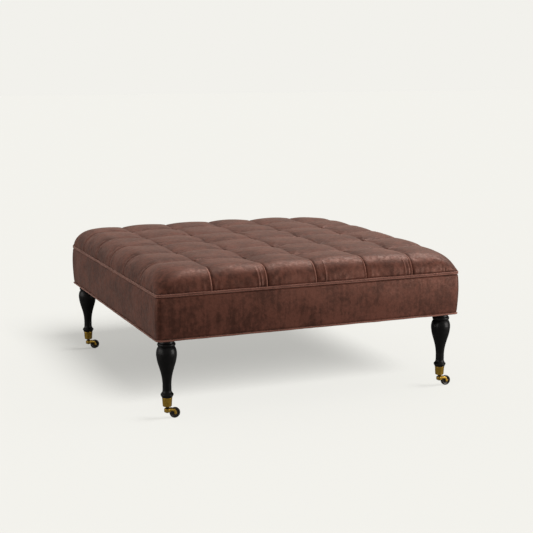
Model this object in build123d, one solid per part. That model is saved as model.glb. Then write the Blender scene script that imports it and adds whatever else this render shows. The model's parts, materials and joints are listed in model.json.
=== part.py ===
from build123d import *
import os
from math import cos, radians, sin, sqrt

# Square ottoman coffee table: biscuit-tufted top, boxed border, turned legs on brass cup castors.
# Millimetres. The origin is on the floor under the middle of the top, +Z up, the front is -Y.

os.makedirs("parts", exist_ok=True)

# Clearances, and how far a cutter runs past a face
soft_gap = 0.3       # between a soft layer and its neighbour, and at the castor's bearing faces
fit_gap = 0.05       # radial, round pins and round screws in their holes
overrun = 4.0

# Castor
wheel_radius = 16.0
wheel_width = 10.0
wheel_crown = 1.2            # rise of the tread from its edges to its middle
wheel_dish = 1.6             # depth of the recess in each side
wheel_rim_radius = 12.0      # inner radius of the rim
wheel_hub_radius = 4.6
castor_trail = 23.0          # from the swivel axis to the axle
side_play = 0.8              # between the wheel's sides and the fork's cheeks
wheel_room = 1.0             # round the tread, inside the fork
cheek_thickness = 2.8
cheek_depth = 6.6            # of the curved arm, across its run
cheek_drop = 0.4             # of the arm's upper edge below the boss's top
eye_radius = 4.2             # rounded end of the arm, round the axle
axle_radius = 2.0
axle_head_radius = 3.2
axle_head_height = 0.9
boss_radius = 9.5
boss_bottom_z = 19.5
boss_height = 11.2
boss_round = 2.0
crotch_length = 8.0          # solid part of the fork between boss and wheel
swivel_radius = 3.0
rivet_radius = 4.6
rivet_height = 1.6
neck_radius = 5.2
neck_height = 6.0
cup_height = 27.5
cup_floor = 2.5
cup_top_radius = 14.8
cup_base_radius = 13.4
cup_base_round = 3.0
cup_rim_height = 2.0
cup_rim_swell = 0.4
spigot_radius = 11.6
pintle_head_radius = 6.5
pintle_head_height = 1.6
cup_screw_height = 15.0      # above the cup's base
cup_screw_length = 9.0
cup_screw_share = 0.6        # of the frame screws' thickness
cup_screw_sink = 0.5         # of its head below the cup's upper radius

# Leg, from the cup up
leg_inset = 40.0             # of the leg's axis from the side of the top
bead_height = 23.5
bead_radius = 19.3
bead_foot_radius = 15.2
bead_lip = 1.3               # half the height of the bead's ridge
bead_lip_round = 0.7         # how far the ridge stands out from the slopes beside it
ankle_radius = 13.2
ankle_height = 18.0
vase_height = 112.0
vase_radius = 30.5
ring_height = 12.0
ring_radius = 26.7
ring_groove_radius = 24.6
collar_height = 15.4
collar_radius = 24.9
bead_ridge_share = 0.38                        # of the bead's height, up to its ridge
bead_shares = [(0.33, 0.82), (0.62, 0.715)]    # height and radius, from the ridge to the ankle
vase_shares = [(0.19, 0.500), (0.375, 0.666), (0.59, 0.885), (0.81, 1.0), (0.94, 0.918)]
bolt_radius = 4.0
bolt_in_leg = 45.0
bolt_past_nut = 3.0
bolt_room = 0.25             # radial, round the bolt in the block and the dust cover

# Frame
top_width = 1000.0           # across the top at its seam
border_build = 9.0           # from the frame's face to the side of the top
rail_thickness = 18.0
rail_height = 102.0
deck_thickness = 12.0
block_width = 70.0
block_height = 40.0
cross_rail_height = 60.0
nut_flange_radius = 9.5
nut_flange_height = 1.5
nut_barrel_radius = 5.2
nut_barrel_length = 9.0
screw_head_radius = 4.0
screw_head_height = 2.4
screw_shank_radius = 2.0
screw_tip_height = 3.0
rail_screw_length = 48.0
deck_screw_length = 38.0
screw_spacing = 20.0
block_screw_inset = 48.0     # of the screws into a block, from the inside of the rail beside it
block_screw_rise = 10.0      # of the lower one above the frame's underside
corner_screw_rise = 62.0     # of the lower screw into a side rail's end
cross_screw_rise = 18.0      # of the lower screw into a cross rail, above its underside
deck_screws_per_rail = 3
deck_screw_inset = 150.0     # of a row's first screw, from the frame's corner
dust_thickness = 0.6
dust_inset = 4.0
staple_width = 10.0
staple_wire = 0.9
staple_leg = 7.0
staple_inset = 9.0           # from the dust cover's edge
staple_end_inset = 80.0      # of a row's first staple, from the frame's corner
staples_per_side = 12

# Tufted top
tuft_pitch = 165.0
tuft_lines = 5               # tufts in a row, each way
corner_radius = 20.0         # of the top and border, in plan
mitre_softening = 60.0       # extra plan radius at the top of the roll, where two meet
pad_side = 20.0              # from the deck up to the cover's lower edge
hem = 4.0                    # upright part of each layer under the rolled edge
roll_radius = 64.0           # of the rolled edge, from the hem to the crown
pleat_depth = 8.0            # of a pleat where it crosses the top of the roll
crease_depth = 5.0           # of a crease half way between two tufts
tuft_depth = 17.0            # at the tuft itself
crown_share = 0.75           # of the rise that is reached half way to the roll
cover_thickness = 1.6
wadding_thickness = 10.0
twine_radius = 0.8
twine_hole_radius = 3.0
knot_radius = 2.4
washer_radius = 11.0
washer_thickness = 2.0
cell_shares = [0, 0.25, 0.5, 0.75, 1]          # sections across a row of cells
border_shares = [0, 0.33, 0.67]                # sections from the last tufts to the roll
roll_angles = [0, 20, 38, 54, 68, 80, 88]      # sections down the roll, in degrees
roll_shares = [1, 0.97, 0.82, 0.45, 0]         # heights of a section's points on the roll

# Border and piping
seam_piping_radius = 2.6
seam_piping_proud = 2.3      # of the seam pipings past the side of the top
base_piping_radius = 3.1
base_piping_proud = 3.0
border_thickness = 1.5
border_swell = 3.7           # of the border between its edges
border_foot_inset = 0.4      # of the border's lower edge from the side of the top

# Heights and places worked out from the sizes above
axle_z = wheel_radius
boss_top_z = boss_bottom_z + boss_height
neck_low_z = boss_top_z + soft_gap
cup_base_z = neck_low_z + neck_height
cup_top_z = cup_base_z + cup_height
cup_floor_z = cup_base_z + cup_floor
ankle_low_z = cup_top_z + bead_height
ankle_top_z = ankle_low_z + ankle_height
vase_top_z = ankle_top_z + vase_height
ring_top_z = vase_top_z + ring_height
leg_top_z = ring_top_z + collar_height
frame_z = leg_top_z + dust_thickness
rail_top_z = frame_z + rail_height
deck_top_z = rail_top_z + deck_thickness
cover_low_z = deck_top_z + pad_side
roll_z = cover_low_z + hem
crown_z = roll_z + roll_radius
crease_z = crown_z - crease_depth
tuft_z = crown_z - tuft_depth
block_top_z = frame_z + block_height
cross_low_z = rail_top_z - cross_rail_height

side = top_width / 2
leg_at = side - leg_inset
frame_half = side - border_build
rail_inner = frame_half - rail_thickness
rail_middle = frame_half - rail_thickness / 2
tuft_offsets = [(index - (tuft_lines - 1) / 2) * tuft_pitch for index in range(tuft_lines)]
tuft_reach = tuft_offsets[-1]
cross_rail_at = tuft_reach - tuft_pitch / 2
upper_piping_z = cover_low_z - soft_gap - seam_piping_radius
lower_piping_z = upper_piping_z - 2 * seam_piping_radius - soft_gap
border_top_z = lower_piping_z - seam_piping_radius - soft_gap
base_piping_z = leg_top_z + base_piping_radius
border_foot_z = base_piping_z + base_piping_radius + soft_gap
seam_piping_at = side + seam_piping_proud - seam_piping_radius
base_piping_at = side + base_piping_proud - base_piping_radius
behind_seam_piping = seam_piping_at - seam_piping_radius - soft_gap
behind_base_piping = base_piping_at - base_piping_radius - soft_gap
cheek_inner = wheel_width / 2 + side_play
cheek_outer = cheek_inner + cheek_thickness
corners = {
    "front_left": (-1, -1),
    "front_right": (1, -1),
    "back_left": (-1, 1),
    "back_right": (1, 1),
}


def write(name, shape):
    """Write one node to its STEP file."""
    export_step(shape, f"parts/{name}.step")


def group(solids):
    """Several separate solids as one node."""
    return Compound(children=list(solids))


def turned(outline):
    """Solid turned round +Z from a closed outline of radius and height."""
    return revolve(Plane.XZ * make_face(outline), Axis.Z)


def block(low, high):
    """Box between two opposite corners."""
    size = [b - a for a, b in zip(low, high)]
    return Pos(*low) * Box(*size, align=(Align.MIN, Align.MIN, Align.MIN))


def rod(radius, low_z, high_z, x=0, y=0):
    """Upright round bar."""
    bar = Cylinder(radius, high_z - low_z, align=(Align.CENTER, Align.CENTER, Align.MIN))
    return Pos(x, y, low_z) * bar


def cross_rod(radius, half_length, x, z):
    """Round bar that lies along Y."""
    return Pos(x, 0, z) * Rot(90, 0, 0) * Cylinder(radius, 2 * half_length)


# Screws

def wood_screw(origin, direction, length, share=1.0):
    """Countersunk screw with its head's face at origin."""
    shank = screw_shank_radius * share
    outline = Polyline(
        (0, 0), (screw_head_radius * share, 0), (shank, screw_head_height * share),
        (shank, length - screw_tip_height * share), (0, length), close=True,
    )
    return Plane(origin=origin, z_dir=direction) * turned(outline)


def screw_hole(origin, direction, length, share=1.0):
    """The hole that the same screw needs, open past its head."""
    head = screw_head_radius * share + fit_gap
    shank = screw_shank_radius * share + fit_gap
    outline = Polyline(
        (0, -overrun), (head, -overrun), (head, 0), (shank, screw_head_height * share),
        (shank, length + fit_gap), (0, length + fit_gap), close=True,
    )
    return Plane(origin=origin, z_dir=direction) * turned(outline)


def drilled(piece, cutters):
    """The piece without those cutters whose boxes meet its box."""
    box = piece.bounding_box()
    near = [tool for tool in cutters if tool.bounding_box().overlaps(box)]
    return piece - near if near else piece


def pair_of_heights(low_z):
    """Heights of two screws, one above the other."""
    return low_z, low_z + screw_spacing


def frame_screw_places():
    """Head and direction of every screw through the rails."""
    places = []
    for x, y in corners.values():
        for z in pair_of_heights(frame_z + block_screw_rise):
            inset = rail_inner - block_screw_inset
            places.append(((x * inset, y * frame_half, z), (0, -y, 0)))
            places.append(((x * frame_half, y * inset, z), (-x, 0, 0)))
        for z in pair_of_heights(frame_z + corner_screw_rise):
            places.append(((x * rail_middle, y * frame_half, z), (0, -y, 0)))
        for z in pair_of_heights(cross_low_z + cross_screw_rise):
            places.append(((x * cross_rail_at, y * frame_half, z), (0, -y, 0)))
    return places


def deck_screw_places():
    """Head and direction of every screw through the deck."""
    reach = frame_half - deck_screw_inset
    step = 2 * reach / (deck_screws_per_rail - 1)
    down = (0, 0, -1)
    places = []
    for index in range(deck_screws_per_rail):
        along = index * step - reach
        for sign in (-1, 1):
            places.append(((along, sign * rail_middle, deck_top_z), down))
            places.append(((sign * rail_middle, along, deck_top_z), down))
            places.append(((sign * cross_rail_at, along, deck_top_z), down))
    return places


def make_frame():
    """Rails, cross rails, corner blocks and deck, with their screws and tee nuts."""
    frame_places = frame_screw_places()
    deck_places = deck_screw_places()
    holes = [screw_hole(*place, rail_screw_length) for place in frame_places]
    holes += [screw_hole(*place, deck_screw_length) for place in deck_places]
    for name, y in (("front_rail", -1), ("back_rail", 1)):
        ends = sorted((y * frame_half, y * rail_inner))
        rail = block((-frame_half, ends[0], frame_z), (frame_half, ends[1], rail_top_z))
        write(name, drilled(rail, holes))
    for name, x in (("left_rail", -1), ("right_rail", 1)):
        ends = sorted((x * frame_half, x * rail_inner))
        rail = block((ends[0], -rail_inner, frame_z), (ends[1], rail_inner, rail_top_z))
        write(name, drilled(rail, holes))
    for name, x in (("left_cross_rail", -1), ("right_cross_rail", 1)):
        low = x * cross_rail_at - rail_thickness / 2
        high = low + rail_thickness
        rail = block((low, -rail_inner, cross_low_z), (high, rail_inner, rail_top_z))
        write(name, drilled(rail, holes))
    for name, (x, y) in corners.items():
        spans = [sorted((sign * rail_inner, sign * (rail_inner - block_width))) for sign in (x, y)]
        low = (spans[0][0], spans[1][0], frame_z)
        high = (spans[0][1], spans[1][1], block_top_z)
        hole = rod(bolt_radius + bolt_room, frame_z - overrun, block_top_z, x * leg_at, y * leg_at)
        nut_low = block_top_z - nut_barrel_length - fit_gap
        recess_top = block_top_z + overrun
        recess = rod(nut_barrel_radius + fit_gap, nut_low, recess_top, x * leg_at, y * leg_at)
        write(f"corner_block_{name}", drilled(block(low, high), holes) - hole - recess)
    deck = block((-frame_half, -frame_half, rail_top_z), (frame_half, frame_half, deck_top_z))
    twine_hole = rod(twine_hole_radius, rail_top_z - overrun, deck_top_z + overrun)
    write("deck_board", drilled(deck, holes) - at_tufts(twine_hole))
    write("frame_screws", group(wood_screw(*place, rail_screw_length) for place in frame_places))
    write("deck_screws", group(wood_screw(*place, deck_screw_length) for place in deck_places))
    write("tee_nuts", group(at_legs(tee_nut())))


def tee_nut():
    """Flanged nut, sunk in a corner block's top, on the leg's axis."""
    flange = rod(nut_flange_radius, block_top_z, block_top_z + nut_flange_height)
    barrel = rod(nut_barrel_radius, block_top_z - nut_barrel_length, block_top_z)
    bore_low = block_top_z - nut_barrel_length - overrun
    bore = rod(bolt_radius + fit_gap, bore_low, block_top_z + overrun)
    return flange + barrel - bore


def at_legs(solid):
    """A copy of the solid at each leg's axis."""
    return [Pos(x * leg_at, y * leg_at, 0) * solid for x, y in corners.values()]


# Tufted top

def at_tufts(solid):
    """A copy of the solid at each tuft."""
    return [Pos(x, y, 0) * solid for x in tuft_offsets for y in tuft_offsets]


def rise(low, high, share):
    """Height on a shallow arch that is low at shares 0 and 1 and high half way."""
    return low + (high - low) * (1 - (2 * share - 1) ** 2)


def rolled(reach, top_z, half):
    """Height of the rolled edge at a distance out from the middle."""
    radius = top_z - roll_z
    past = reach - (half - radius)
    if past <= 0:
        return top_z
    return roll_z + sqrt(max(radius ** 2 - past ** 2, 0))


def towards_roll(reach, low, top_z, half):
    """Height from the last tufts up to the roll and down over it."""
    crest = half - (top_z - roll_z)
    if reach >= crest:
        return rolled(reach, top_z, half)
    return top_z - (top_z - low) * ((crest - reach) / (crest - tuft_reach)) ** 2


def arc_or_line(start, middle, end):
    """Arc through three points, or a line where it would be flat."""
    chord = Line(start, end)
    flat = chord.distance_to(Vector(*middle)) < fit_gap
    return chord if flat else ThreePointArc(start, middle, end)


def cross_section(y, low_z, tuft, middle, roll):
    """Closed outline across a layer at one place along Y, of lines and arcs.

    tuft and middle are the heights at the tuft lines and half way between them, and roll
    is the row of (x, z) points down one rolled edge.
    """
    crest, edge = roll[0], roll[-1]
    knee = ((tuft_reach + crest[0]) / 2, tuft + (crest[1] - tuft) * crown_share)
    half_run = [((tuft_reach, tuft), knee, crest), roll[:3], roll[2:]]
    edges = [Line((edge[0], y, edge[1]), (edge[0], y, low_z))]
    edges.append(Line((edge[0], y, low_z), (-edge[0], y, low_z)))
    edges.append(Line((-edge[0], y, low_z), (-edge[0], y, edge[1])))
    for start, between, end in reversed(half_run):
        points = [(-x, y, z) for x, z in (end, between, start)]
        edges.append(arc_or_line(*points))
    for left, right in zip(tuft_offsets, tuft_offsets[1:]):
        top = ((left + right) / 2, y, middle)
        edges.append(arc_or_line((left, y, tuft), top, (right, y, tuft)))
    for run in half_run:
        edges.append(arc_or_line(*[(x, y, z) for x, z in run]))
    return Wire(edges)


def contour_x(reach, z, top_z, half, plan_radius):
    """How far out in X the form's contour at height z lies, in the section at a reach along Y."""
    radius = top_z - roll_z
    climb = (z - roll_z) / radius
    out = half - radius + radius * sqrt(max(1 - climb ** 2, 0))
    bend = plan_radius + mitre_softening * sqrt(climb)
    past = max(reach - (out - bend), 0)
    return out - bend + sqrt(max(bend ** 2 - past ** 2, 0))


def roll_points(reach, top_z, half, plan_radius):
    """Points down the rolled edge from its crest, as (x, z), in the section at a reach."""
    crest_z = rolled(reach, top_z, half)
    heights = [roll_z + (crest_z - roll_z) * share for share in roll_shares]
    return [(contour_x(reach, z, top_z, half, plan_radius), z) for z in heights]


def cell_row(inset, low_z):
    """One row of cells between two tuft lines, for a layer that lies inset below the cover."""
    sections = []
    for share in cell_shares:
        ridge_z = rise(crown_z - pleat_depth, crown_z, share) - inset
        sections.append(cross_section(
            (share - 0.5) * tuft_pitch,
            low_z,
            rise(tuft_z, crease_z, share) - inset,
            rise(crease_z, crown_z, share) - inset,
            roll_points(0, ridge_z, side - inset, corner_radius - inset),
        ))
    return Solid.make_loft(sections)


def edge_row(inset, low_z):
    """The back row, from the last tuft line out over the rolled edge."""
    half = side - inset
    top_z = crown_z - inset
    radius = top_z - roll_z
    crest_at = half - radius
    stations = [(share, tuft_reach + (crest_at - tuft_reach) * share) for share in border_shares]
    stations += [(1, crest_at + radius * sin(radians(angle))) for angle in roll_angles]
    wires = []
    for share, reach in stations:
        tuft = towards_roll(reach, tuft_z - inset, top_z - pleat_depth, half)
        middle = towards_roll(reach, crease_z - inset, top_z, half)
        ridge_z = top_z - pleat_depth * (1 - share) ** 2
        roll = roll_points(reach, ridge_z, half, corner_radius - inset)
        wires.append(cross_section(reach, low_z, tuft, middle, roll))
    return Solid.make_loft(wires, ruled=True)


def tufted_form(inset, low_z):
    """The whole tufted form of one layer, from low_z up."""
    row = cell_row(inset, low_z)
    back = edge_row(inset, low_z)
    form = back.fuse(Pos(0, (tuft_offsets[-1] + tuft_offsets[-2]) / 2, 0) * row)
    for left, right in zip(tuft_offsets[:-1], tuft_offsets[1:-1]):
        form = form.fuse(Pos(0, (left + right) / 2, 0) * row)
    return form.fuse(back.mirror(Plane.XZ))


def rounded_slab(half, radius, low_z, high_z):
    """Square slab with rounded corners in plan."""
    return Pos(0, 0, low_z) * extrude(RectangleRounded(2 * half, 2 * half, radius), high_z - low_z)


def make_tufted_top():
    """Cover, wadding and foam, each with the tufted form inside the last, and the ties."""
    cavity_low_z = cover_low_z - overrun
    cover = tufted_form(0, cover_low_z) - tufted_form(cover_thickness, cavity_low_z)
    write("tufted_cover", cover)

    wadding_inset = cover_thickness + soft_gap
    cavity_inset = wadding_inset + wadding_thickness
    foam_inset = cavity_inset + soft_gap
    cavity_half = side - cavity_inset
    twine_room = at_tufts(rod(twine_hole_radius, deck_top_z - overrun, crown_z))
    upper = tufted_form(wadding_inset, cover_low_z) - tufted_form(cavity_inset, cavity_low_z)
    low_radius = corner_radius - (side - behind_seam_piping)
    lower = rounded_slab(behind_seam_piping, low_radius, deck_top_z, cover_low_z)
    lower -= rounded_slab(
        cavity_half, corner_radius - cavity_inset, deck_top_z - overrun, cover_low_z + overrun
    )
    write("wadding_layer", upper + lower - twine_room)

    foam_half = side - foam_inset
    slab = rounded_slab(foam_half, corner_radius - foam_inset, deck_top_z, cover_low_z)
    write("foam_pad", tufted_form(foam_inset, cover_low_z) + slab - twine_room)

    washer_low_z = rail_top_z - washer_thickness
    washer = rod(washer_radius, washer_low_z, rail_top_z)
    washer -= rod(twine_radius + fit_gap, washer_low_z - overrun, rail_top_z + overrun)
    twine = rod(twine_radius, washer_low_z - knot_radius, tuft_z - cover_thickness - soft_gap)
    twine += Pos(0, 0, washer_low_z - knot_radius - fit_gap) * Sphere(knot_radius)
    write("tufting_washers", group(at_tufts(washer)))
    write("tufting_twines", group(at_tufts(twine)))


# Border, pipings and dust cover

def banded_side(section, half, radius):
    """Front side of a square band with rounded corners, ending on the mitres.

    section is a face on the XZ plane whose x is the distance out from the corner's axis.
    """
    run = half - radius
    straight = extrude(Pos(-run, -run, 0) * Rot(0, 0, -90) * section, 2 * run, dir=(1, 0, 0))
    turn = revolve(section, Axis.Z, 45)
    right = Pos(run, -run, 0) * Rot(0, 0, -90) * turn
    left = Pos(-run, -run, 0) * Rot(0, 0, -135) * turn
    return straight + left + right


def band(section, half, radius):
    """The same band, closed round all four sides."""
    front = banded_side(section, half, radius)
    ring = front
    for turn in (90, 180, 270):
        ring = ring + Rot(0, 0, turn) * front
    return ring


def border_outline(inset, foot_z, top_z):
    """Points of the border's swelling face, as distances out from the corner's axis."""
    out = corner_radius - inset
    middle_z = (foot_z + top_z) / 2
    return (out - border_foot_inset, foot_z), (out + border_swell, middle_z), (out, top_z)


def make_border():
    """Four border panels, the wadding behind them, three pipings and the dust cover."""
    foot, swell, top = border_outline(0, border_foot_z, border_top_z)
    inner = [(x - border_thickness, z) for x, z in (top, swell, foot)]
    outline = ThreePointArc(foot, swell, top) + Line(top, inner[0])
    outline += ThreePointArc(*inner) + Line(inner[2], foot)
    front = banded_side(Plane.XZ * make_face(outline), side, corner_radius)
    for index, name in enumerate(("front", "right", "back", "left")):
        write(f"border_{name}", Rot(0, 0, 90 * index) * front)

    wadding_inset = border_thickness + soft_gap
    foot, swell, top = border_outline(wadding_inset, border_foot_z, border_top_z)
    low = behind_base_piping - side + corner_radius
    high = behind_seam_piping - side + corner_radius
    top_z = deck_top_z - soft_gap
    swell_top = (top[0], top_z)
    back = corner_radius - border_build - overrun
    outline = Polyline((back, top_z), (back, frame_z), (low, frame_z), (low, border_foot_z), foot)
    outline += ThreePointArc(foot, swell, swell_top) + Line(swell_top, (back, top_z))
    ring = band(Plane.XZ * make_face(outline), side, corner_radius)
    reach = frame_half + soft_gap
    ring -= block((-reach, -reach, frame_z - overrun), (reach, reach, deck_top_z + overrun))
    write("border_wadding", ring)

    pipings = {
        "upper_piping": (seam_piping_at, upper_piping_z, seam_piping_radius),
        "lower_piping": (seam_piping_at, lower_piping_z, seam_piping_radius),
        "base_piping": (base_piping_at, base_piping_z, base_piping_radius),
    }
    for name, (at, z, radius) in pipings.items():
        section = Plane.XZ * Pos(at - side + corner_radius, z) * Circle(radius)
        write(name, band(section, side, corner_radius))

    reach = frame_half - dust_inset
    cloth = block((-reach, -reach, leg_top_z), (reach, reach, frame_z))
    hole = rod(bolt_radius + bolt_room, leg_top_z - overrun, frame_z + overrun)
    write("dust_cover", cloth - at_legs(hole))
    write("dust_cover_staples", group(staples(reach - staple_inset)))


def staples(at):
    """Rows of staples along the four sides of the dust cover."""
    half = staple_width / 2
    wire = staple_wire / 2
    low_z = leg_top_z - staple_wire
    crown = block((-half, -wire, low_z), (half, wire, leg_top_z))
    leg = block((-half, -wire, low_z), (staple_wire - half, wire, leg_top_z + staple_leg))
    staple = crown + leg + leg.mirror(Plane.YZ)
    reach = frame_half - staple_end_inset
    step = 2 * reach / (staples_per_side - 1)
    row = [Pos(index * step - reach, -at, 0) * staple for index in range(staples_per_side)]
    return [Rot(0, 0, turn) * piece for turn in (0, 90, 180, 270) for piece in row]


# Legs

def leg_outline():
    """Closed outline of a leg, from its spigot in the cup to the collar under the frame."""
    spigot_low_z = cup_floor_z + pintle_head_height + soft_gap
    ridge_z = cup_top_z + bead_height * bead_ridge_share
    under_lip = (bead_radius - bead_lip_round, ridge_z - bead_lip)
    over_lip = (bead_radius - bead_lip_round, ridge_z + bead_lip)
    slope = ankle_low_z - over_lip[1]
    bead = [(bead_radius * r, over_lip[1] + slope * h) for h, r in bead_shares]
    vase = [(vase_radius * r, ankle_top_z + vase_height * h) for h, r in vase_shares]
    ankle_low = (ankle_radius, ankle_low_z)
    ankle_top = (ankle_radius, ankle_top_z)
    groove = (ring_groove_radius, vase_top_z)
    ring = (ring_radius, vase_top_z + ring_height / 2)
    collar_low = (collar_radius, ring_top_z)
    foot = (bead_foot_radius, cup_top_z)
    outline = Polyline(
        (0, spigot_low_z), (spigot_radius, spigot_low_z), (spigot_radius, cup_top_z), foot,
        under_lip,
    )
    outline += ThreePointArc(under_lip, (bead_radius, ridge_z), over_lip)
    outline += Spline(over_lip, *bead, ankle_low)
    outline += Line(ankle_low, ankle_top)
    outline += Spline(ankle_top, *vase, groove)
    outline += ThreePointArc(groove, ring, collar_low)
    outline += Polyline(collar_low, (collar_radius, leg_top_z), (0, leg_top_z), (0, spigot_low_z))
    return outline


def cup_screw_place(x, y):
    """Head and direction of the screw through the cup of one corner, on its inner side."""
    reach = cup_top_radius - cup_screw_sink
    diagonal = sqrt(2)
    head = (-x * reach / diagonal, -y * reach / diagonal, cup_base_z + cup_screw_height)
    return head, (x, y, 0)


def make_legs():
    """Legs, and the bolts that hold them up in the frame."""
    bolt_low_z = leg_top_z - bolt_in_leg
    bolt = rod(bolt_radius, bolt_low_z, block_top_z + nut_flange_height + bolt_past_nut)
    bore = rod(bolt_radius + fit_gap, bolt_low_z - fit_gap, leg_top_z + overrun)
    leg = turned(leg_outline()) - bore
    for name, (x, y) in corners.items():
        hole = screw_hole(*cup_screw_place(x, y), cup_screw_length, cup_screw_share)
        write(f"leg_{name}", Pos(x * leg_at, y * leg_at, 0) * (leg - hole))
    write("hanger_bolts", group(at_legs(bolt)))


# Castors, made round the swivel axis with the wheel trailing to +X

def make_wheel():
    """Wheel with a crowned tread and a dished face on each side."""
    bore = axle_radius + fit_gap
    hub_half = cheek_inner - soft_gap
    rim_half = wheel_width / 2
    web_half = rim_half - wheel_dish
    tread_edge = wheel_radius - wheel_crown
    side_points = [
        (bore, hub_half), (wheel_hub_radius, hub_half), (wheel_hub_radius, web_half),
        (wheel_rim_radius, web_half), (wheel_rim_radius, rim_half), (tread_edge, rim_half),
    ]
    other_points = [(r, -y) for r, y in reversed(side_points)]
    outline = Polyline(*side_points)
    outline += ThreePointArc(side_points[-1], (wheel_radius, 0), other_points[0])
    outline += Polyline(*other_points, side_points[0])
    wheel = revolve(make_face(outline), Axis.Y)
    return Pos(castor_trail, 0, axle_z) * wheel


def make_axle():
    """Axle with a head outside each cheek."""
    head_inner = cheek_outer + fit_gap
    head_middle = head_inner + axle_head_height / 2
    axle = cross_rod(axle_radius, head_inner + axle_head_height, castor_trail, axle_z)
    head = cross_rod(axle_head_radius, axle_head_height / 2, castor_trail, axle_z)
    return axle + Pos(0, head_middle, 0) * head + Pos(0, -head_middle, 0) * head


def cheek_face():
    """Face of one cheek: out from the boss and down in a quarter turn to the axle's eye."""
    half_depth = cheek_depth / 2
    arm_z = boss_top_z - cheek_drop - half_depth
    turn_radius = arm_z - axle_z
    turn_x = castor_trail - turn_radius
    outer = turn_radius + half_depth
    inner = turn_radius - half_depth
    across = cos(radians(45))
    outer_points = [
        (turn_x, arm_z + half_depth),
        (turn_x + outer * across, axle_z + outer * across),
        (turn_x + outer, axle_z),
    ]
    inner_points = [
        (turn_x + inner, axle_z),
        (turn_x + inner * across, axle_z + inner * across),
        (turn_x, arm_z - half_depth),
    ]
    outline = Line((0, arm_z + half_depth), outer_points[0]) + ThreePointArc(*outer_points)
    outline += Line(outer_points[2], inner_points[0]) + ThreePointArc(*inner_points)
    outline += Polyline(inner_points[2], (0, arm_z - half_depth), (0, arm_z + half_depth))
    return make_face(outline) + Pos(castor_trail, axle_z) * Circle(eye_radius)


def make_fork():
    """Boss, crotch and two curved cheeks, bored for the pintle and the axle."""
    boss = rod(boss_radius, boss_bottom_z, boss_top_z)
    boss = fillet(boss.edges().filter_by(GeomType.CIRCLE), boss_round)
    crotch_low_z = boss_bottom_z + boss_round
    crotch_top_z = boss_top_z - cheek_drop
    crotch = block((0, -cheek_outer, crotch_low_z), (crotch_length, cheek_outer, crotch_top_z))
    plate = extrude(Plane.XZ * cheek_face(), cheek_thickness)
    cheek = Pos(0, -cheek_inner, 0) * plate
    body = boss + crotch + cheek + cheek.mirror(Plane.XZ)
    body -= cross_rod(wheel_radius + wheel_room, cheek_inner, castor_trail, axle_z)
    body -= rod(swivel_radius + fit_gap, boss_bottom_z - overrun, boss_top_z + overrun)
    return body - cross_rod(axle_radius + fit_gap, cheek_outer + overrun, castor_trail, axle_z)


def make_pintle():
    """Riveted pin: head in the cup, neck under it, rivet under the fork's boss."""
    rivet_top_z = boss_bottom_z - soft_gap
    rivet_low_z = rivet_top_z - rivet_height
    head_top_z = cup_floor_z + pintle_head_height
    return turned(Polyline(
        (0, rivet_low_z), (rivet_radius, rivet_low_z), (rivet_radius, rivet_top_z),
        (swivel_radius, rivet_top_z), (swivel_radius, neck_low_z), (neck_radius, neck_low_z),
        (neck_radius, cup_base_z), (swivel_radius, cup_base_z), (swivel_radius, cup_floor_z),
        (pintle_head_radius, cup_floor_z), (pintle_head_radius, head_top_z), (0, head_top_z),
        close=True,
    ))


def make_cup():
    """Tapered socket with a rolled rim, a rounded base and a hole for the pintle."""
    inner = spigot_radius + fit_gap
    hole = swivel_radius + fit_gap
    bend = cup_base_round * (1 - cos(radians(45)))
    rim_low_z = cup_top_z - cup_rim_height
    rim = cup_top_radius + cup_rim_swell
    base = (cup_base_radius - cup_base_round, cup_base_z)
    wall = (cup_base_radius, cup_base_z + cup_base_round)
    outline = ThreePointArc(base, (cup_base_radius - bend, cup_base_z + bend), wall)
    outline += Polyline(
        wall, (cup_top_radius, rim_low_z), (rim, rim_low_z), (rim, cup_top_z),
        (inner, cup_top_z), (inner, cup_floor_z), (hole, cup_floor_z), (hole, cup_base_z), base,
    )
    return turned(outline)


def make_castors():
    """The five pieces of each castor, and the screws of all the cups."""
    pieces = {"pintle": make_pintle(), "fork": make_fork()}
    pieces |= {"axle": make_axle(), "wheel": make_wheel()}
    cup = make_cup()
    cup_screws = []
    for name, (x, y) in corners.items():
        place = Pos(x * leg_at, y * leg_at, 0)
        head = cup_screw_place(x, y)
        hole = screw_hole(*head, cup_screw_length, cup_screw_share)
        write(f"cup_{name}", place * (cup - hole))
        cup_screws.append(place * wood_screw(*head, cup_screw_length, cup_screw_share))
        for kind, piece in pieces.items():
            write(f"{kind}_{name}", place * piece)
    write("cup_screws", group(cup_screws))


make_frame()
make_tufted_top()
make_border()
make_legs()
make_castors()
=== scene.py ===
"""Looks of a square ottoman coffee table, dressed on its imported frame.

The velvet top, border and pipings, the dust cover, the turned legs and the castors are modelled
here in metres, where the frame's nodes are. Every piece rides on the body of the node it dresses.
"""

import json
import logging
import math
from dataclasses import dataclass
from enum import Enum

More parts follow.
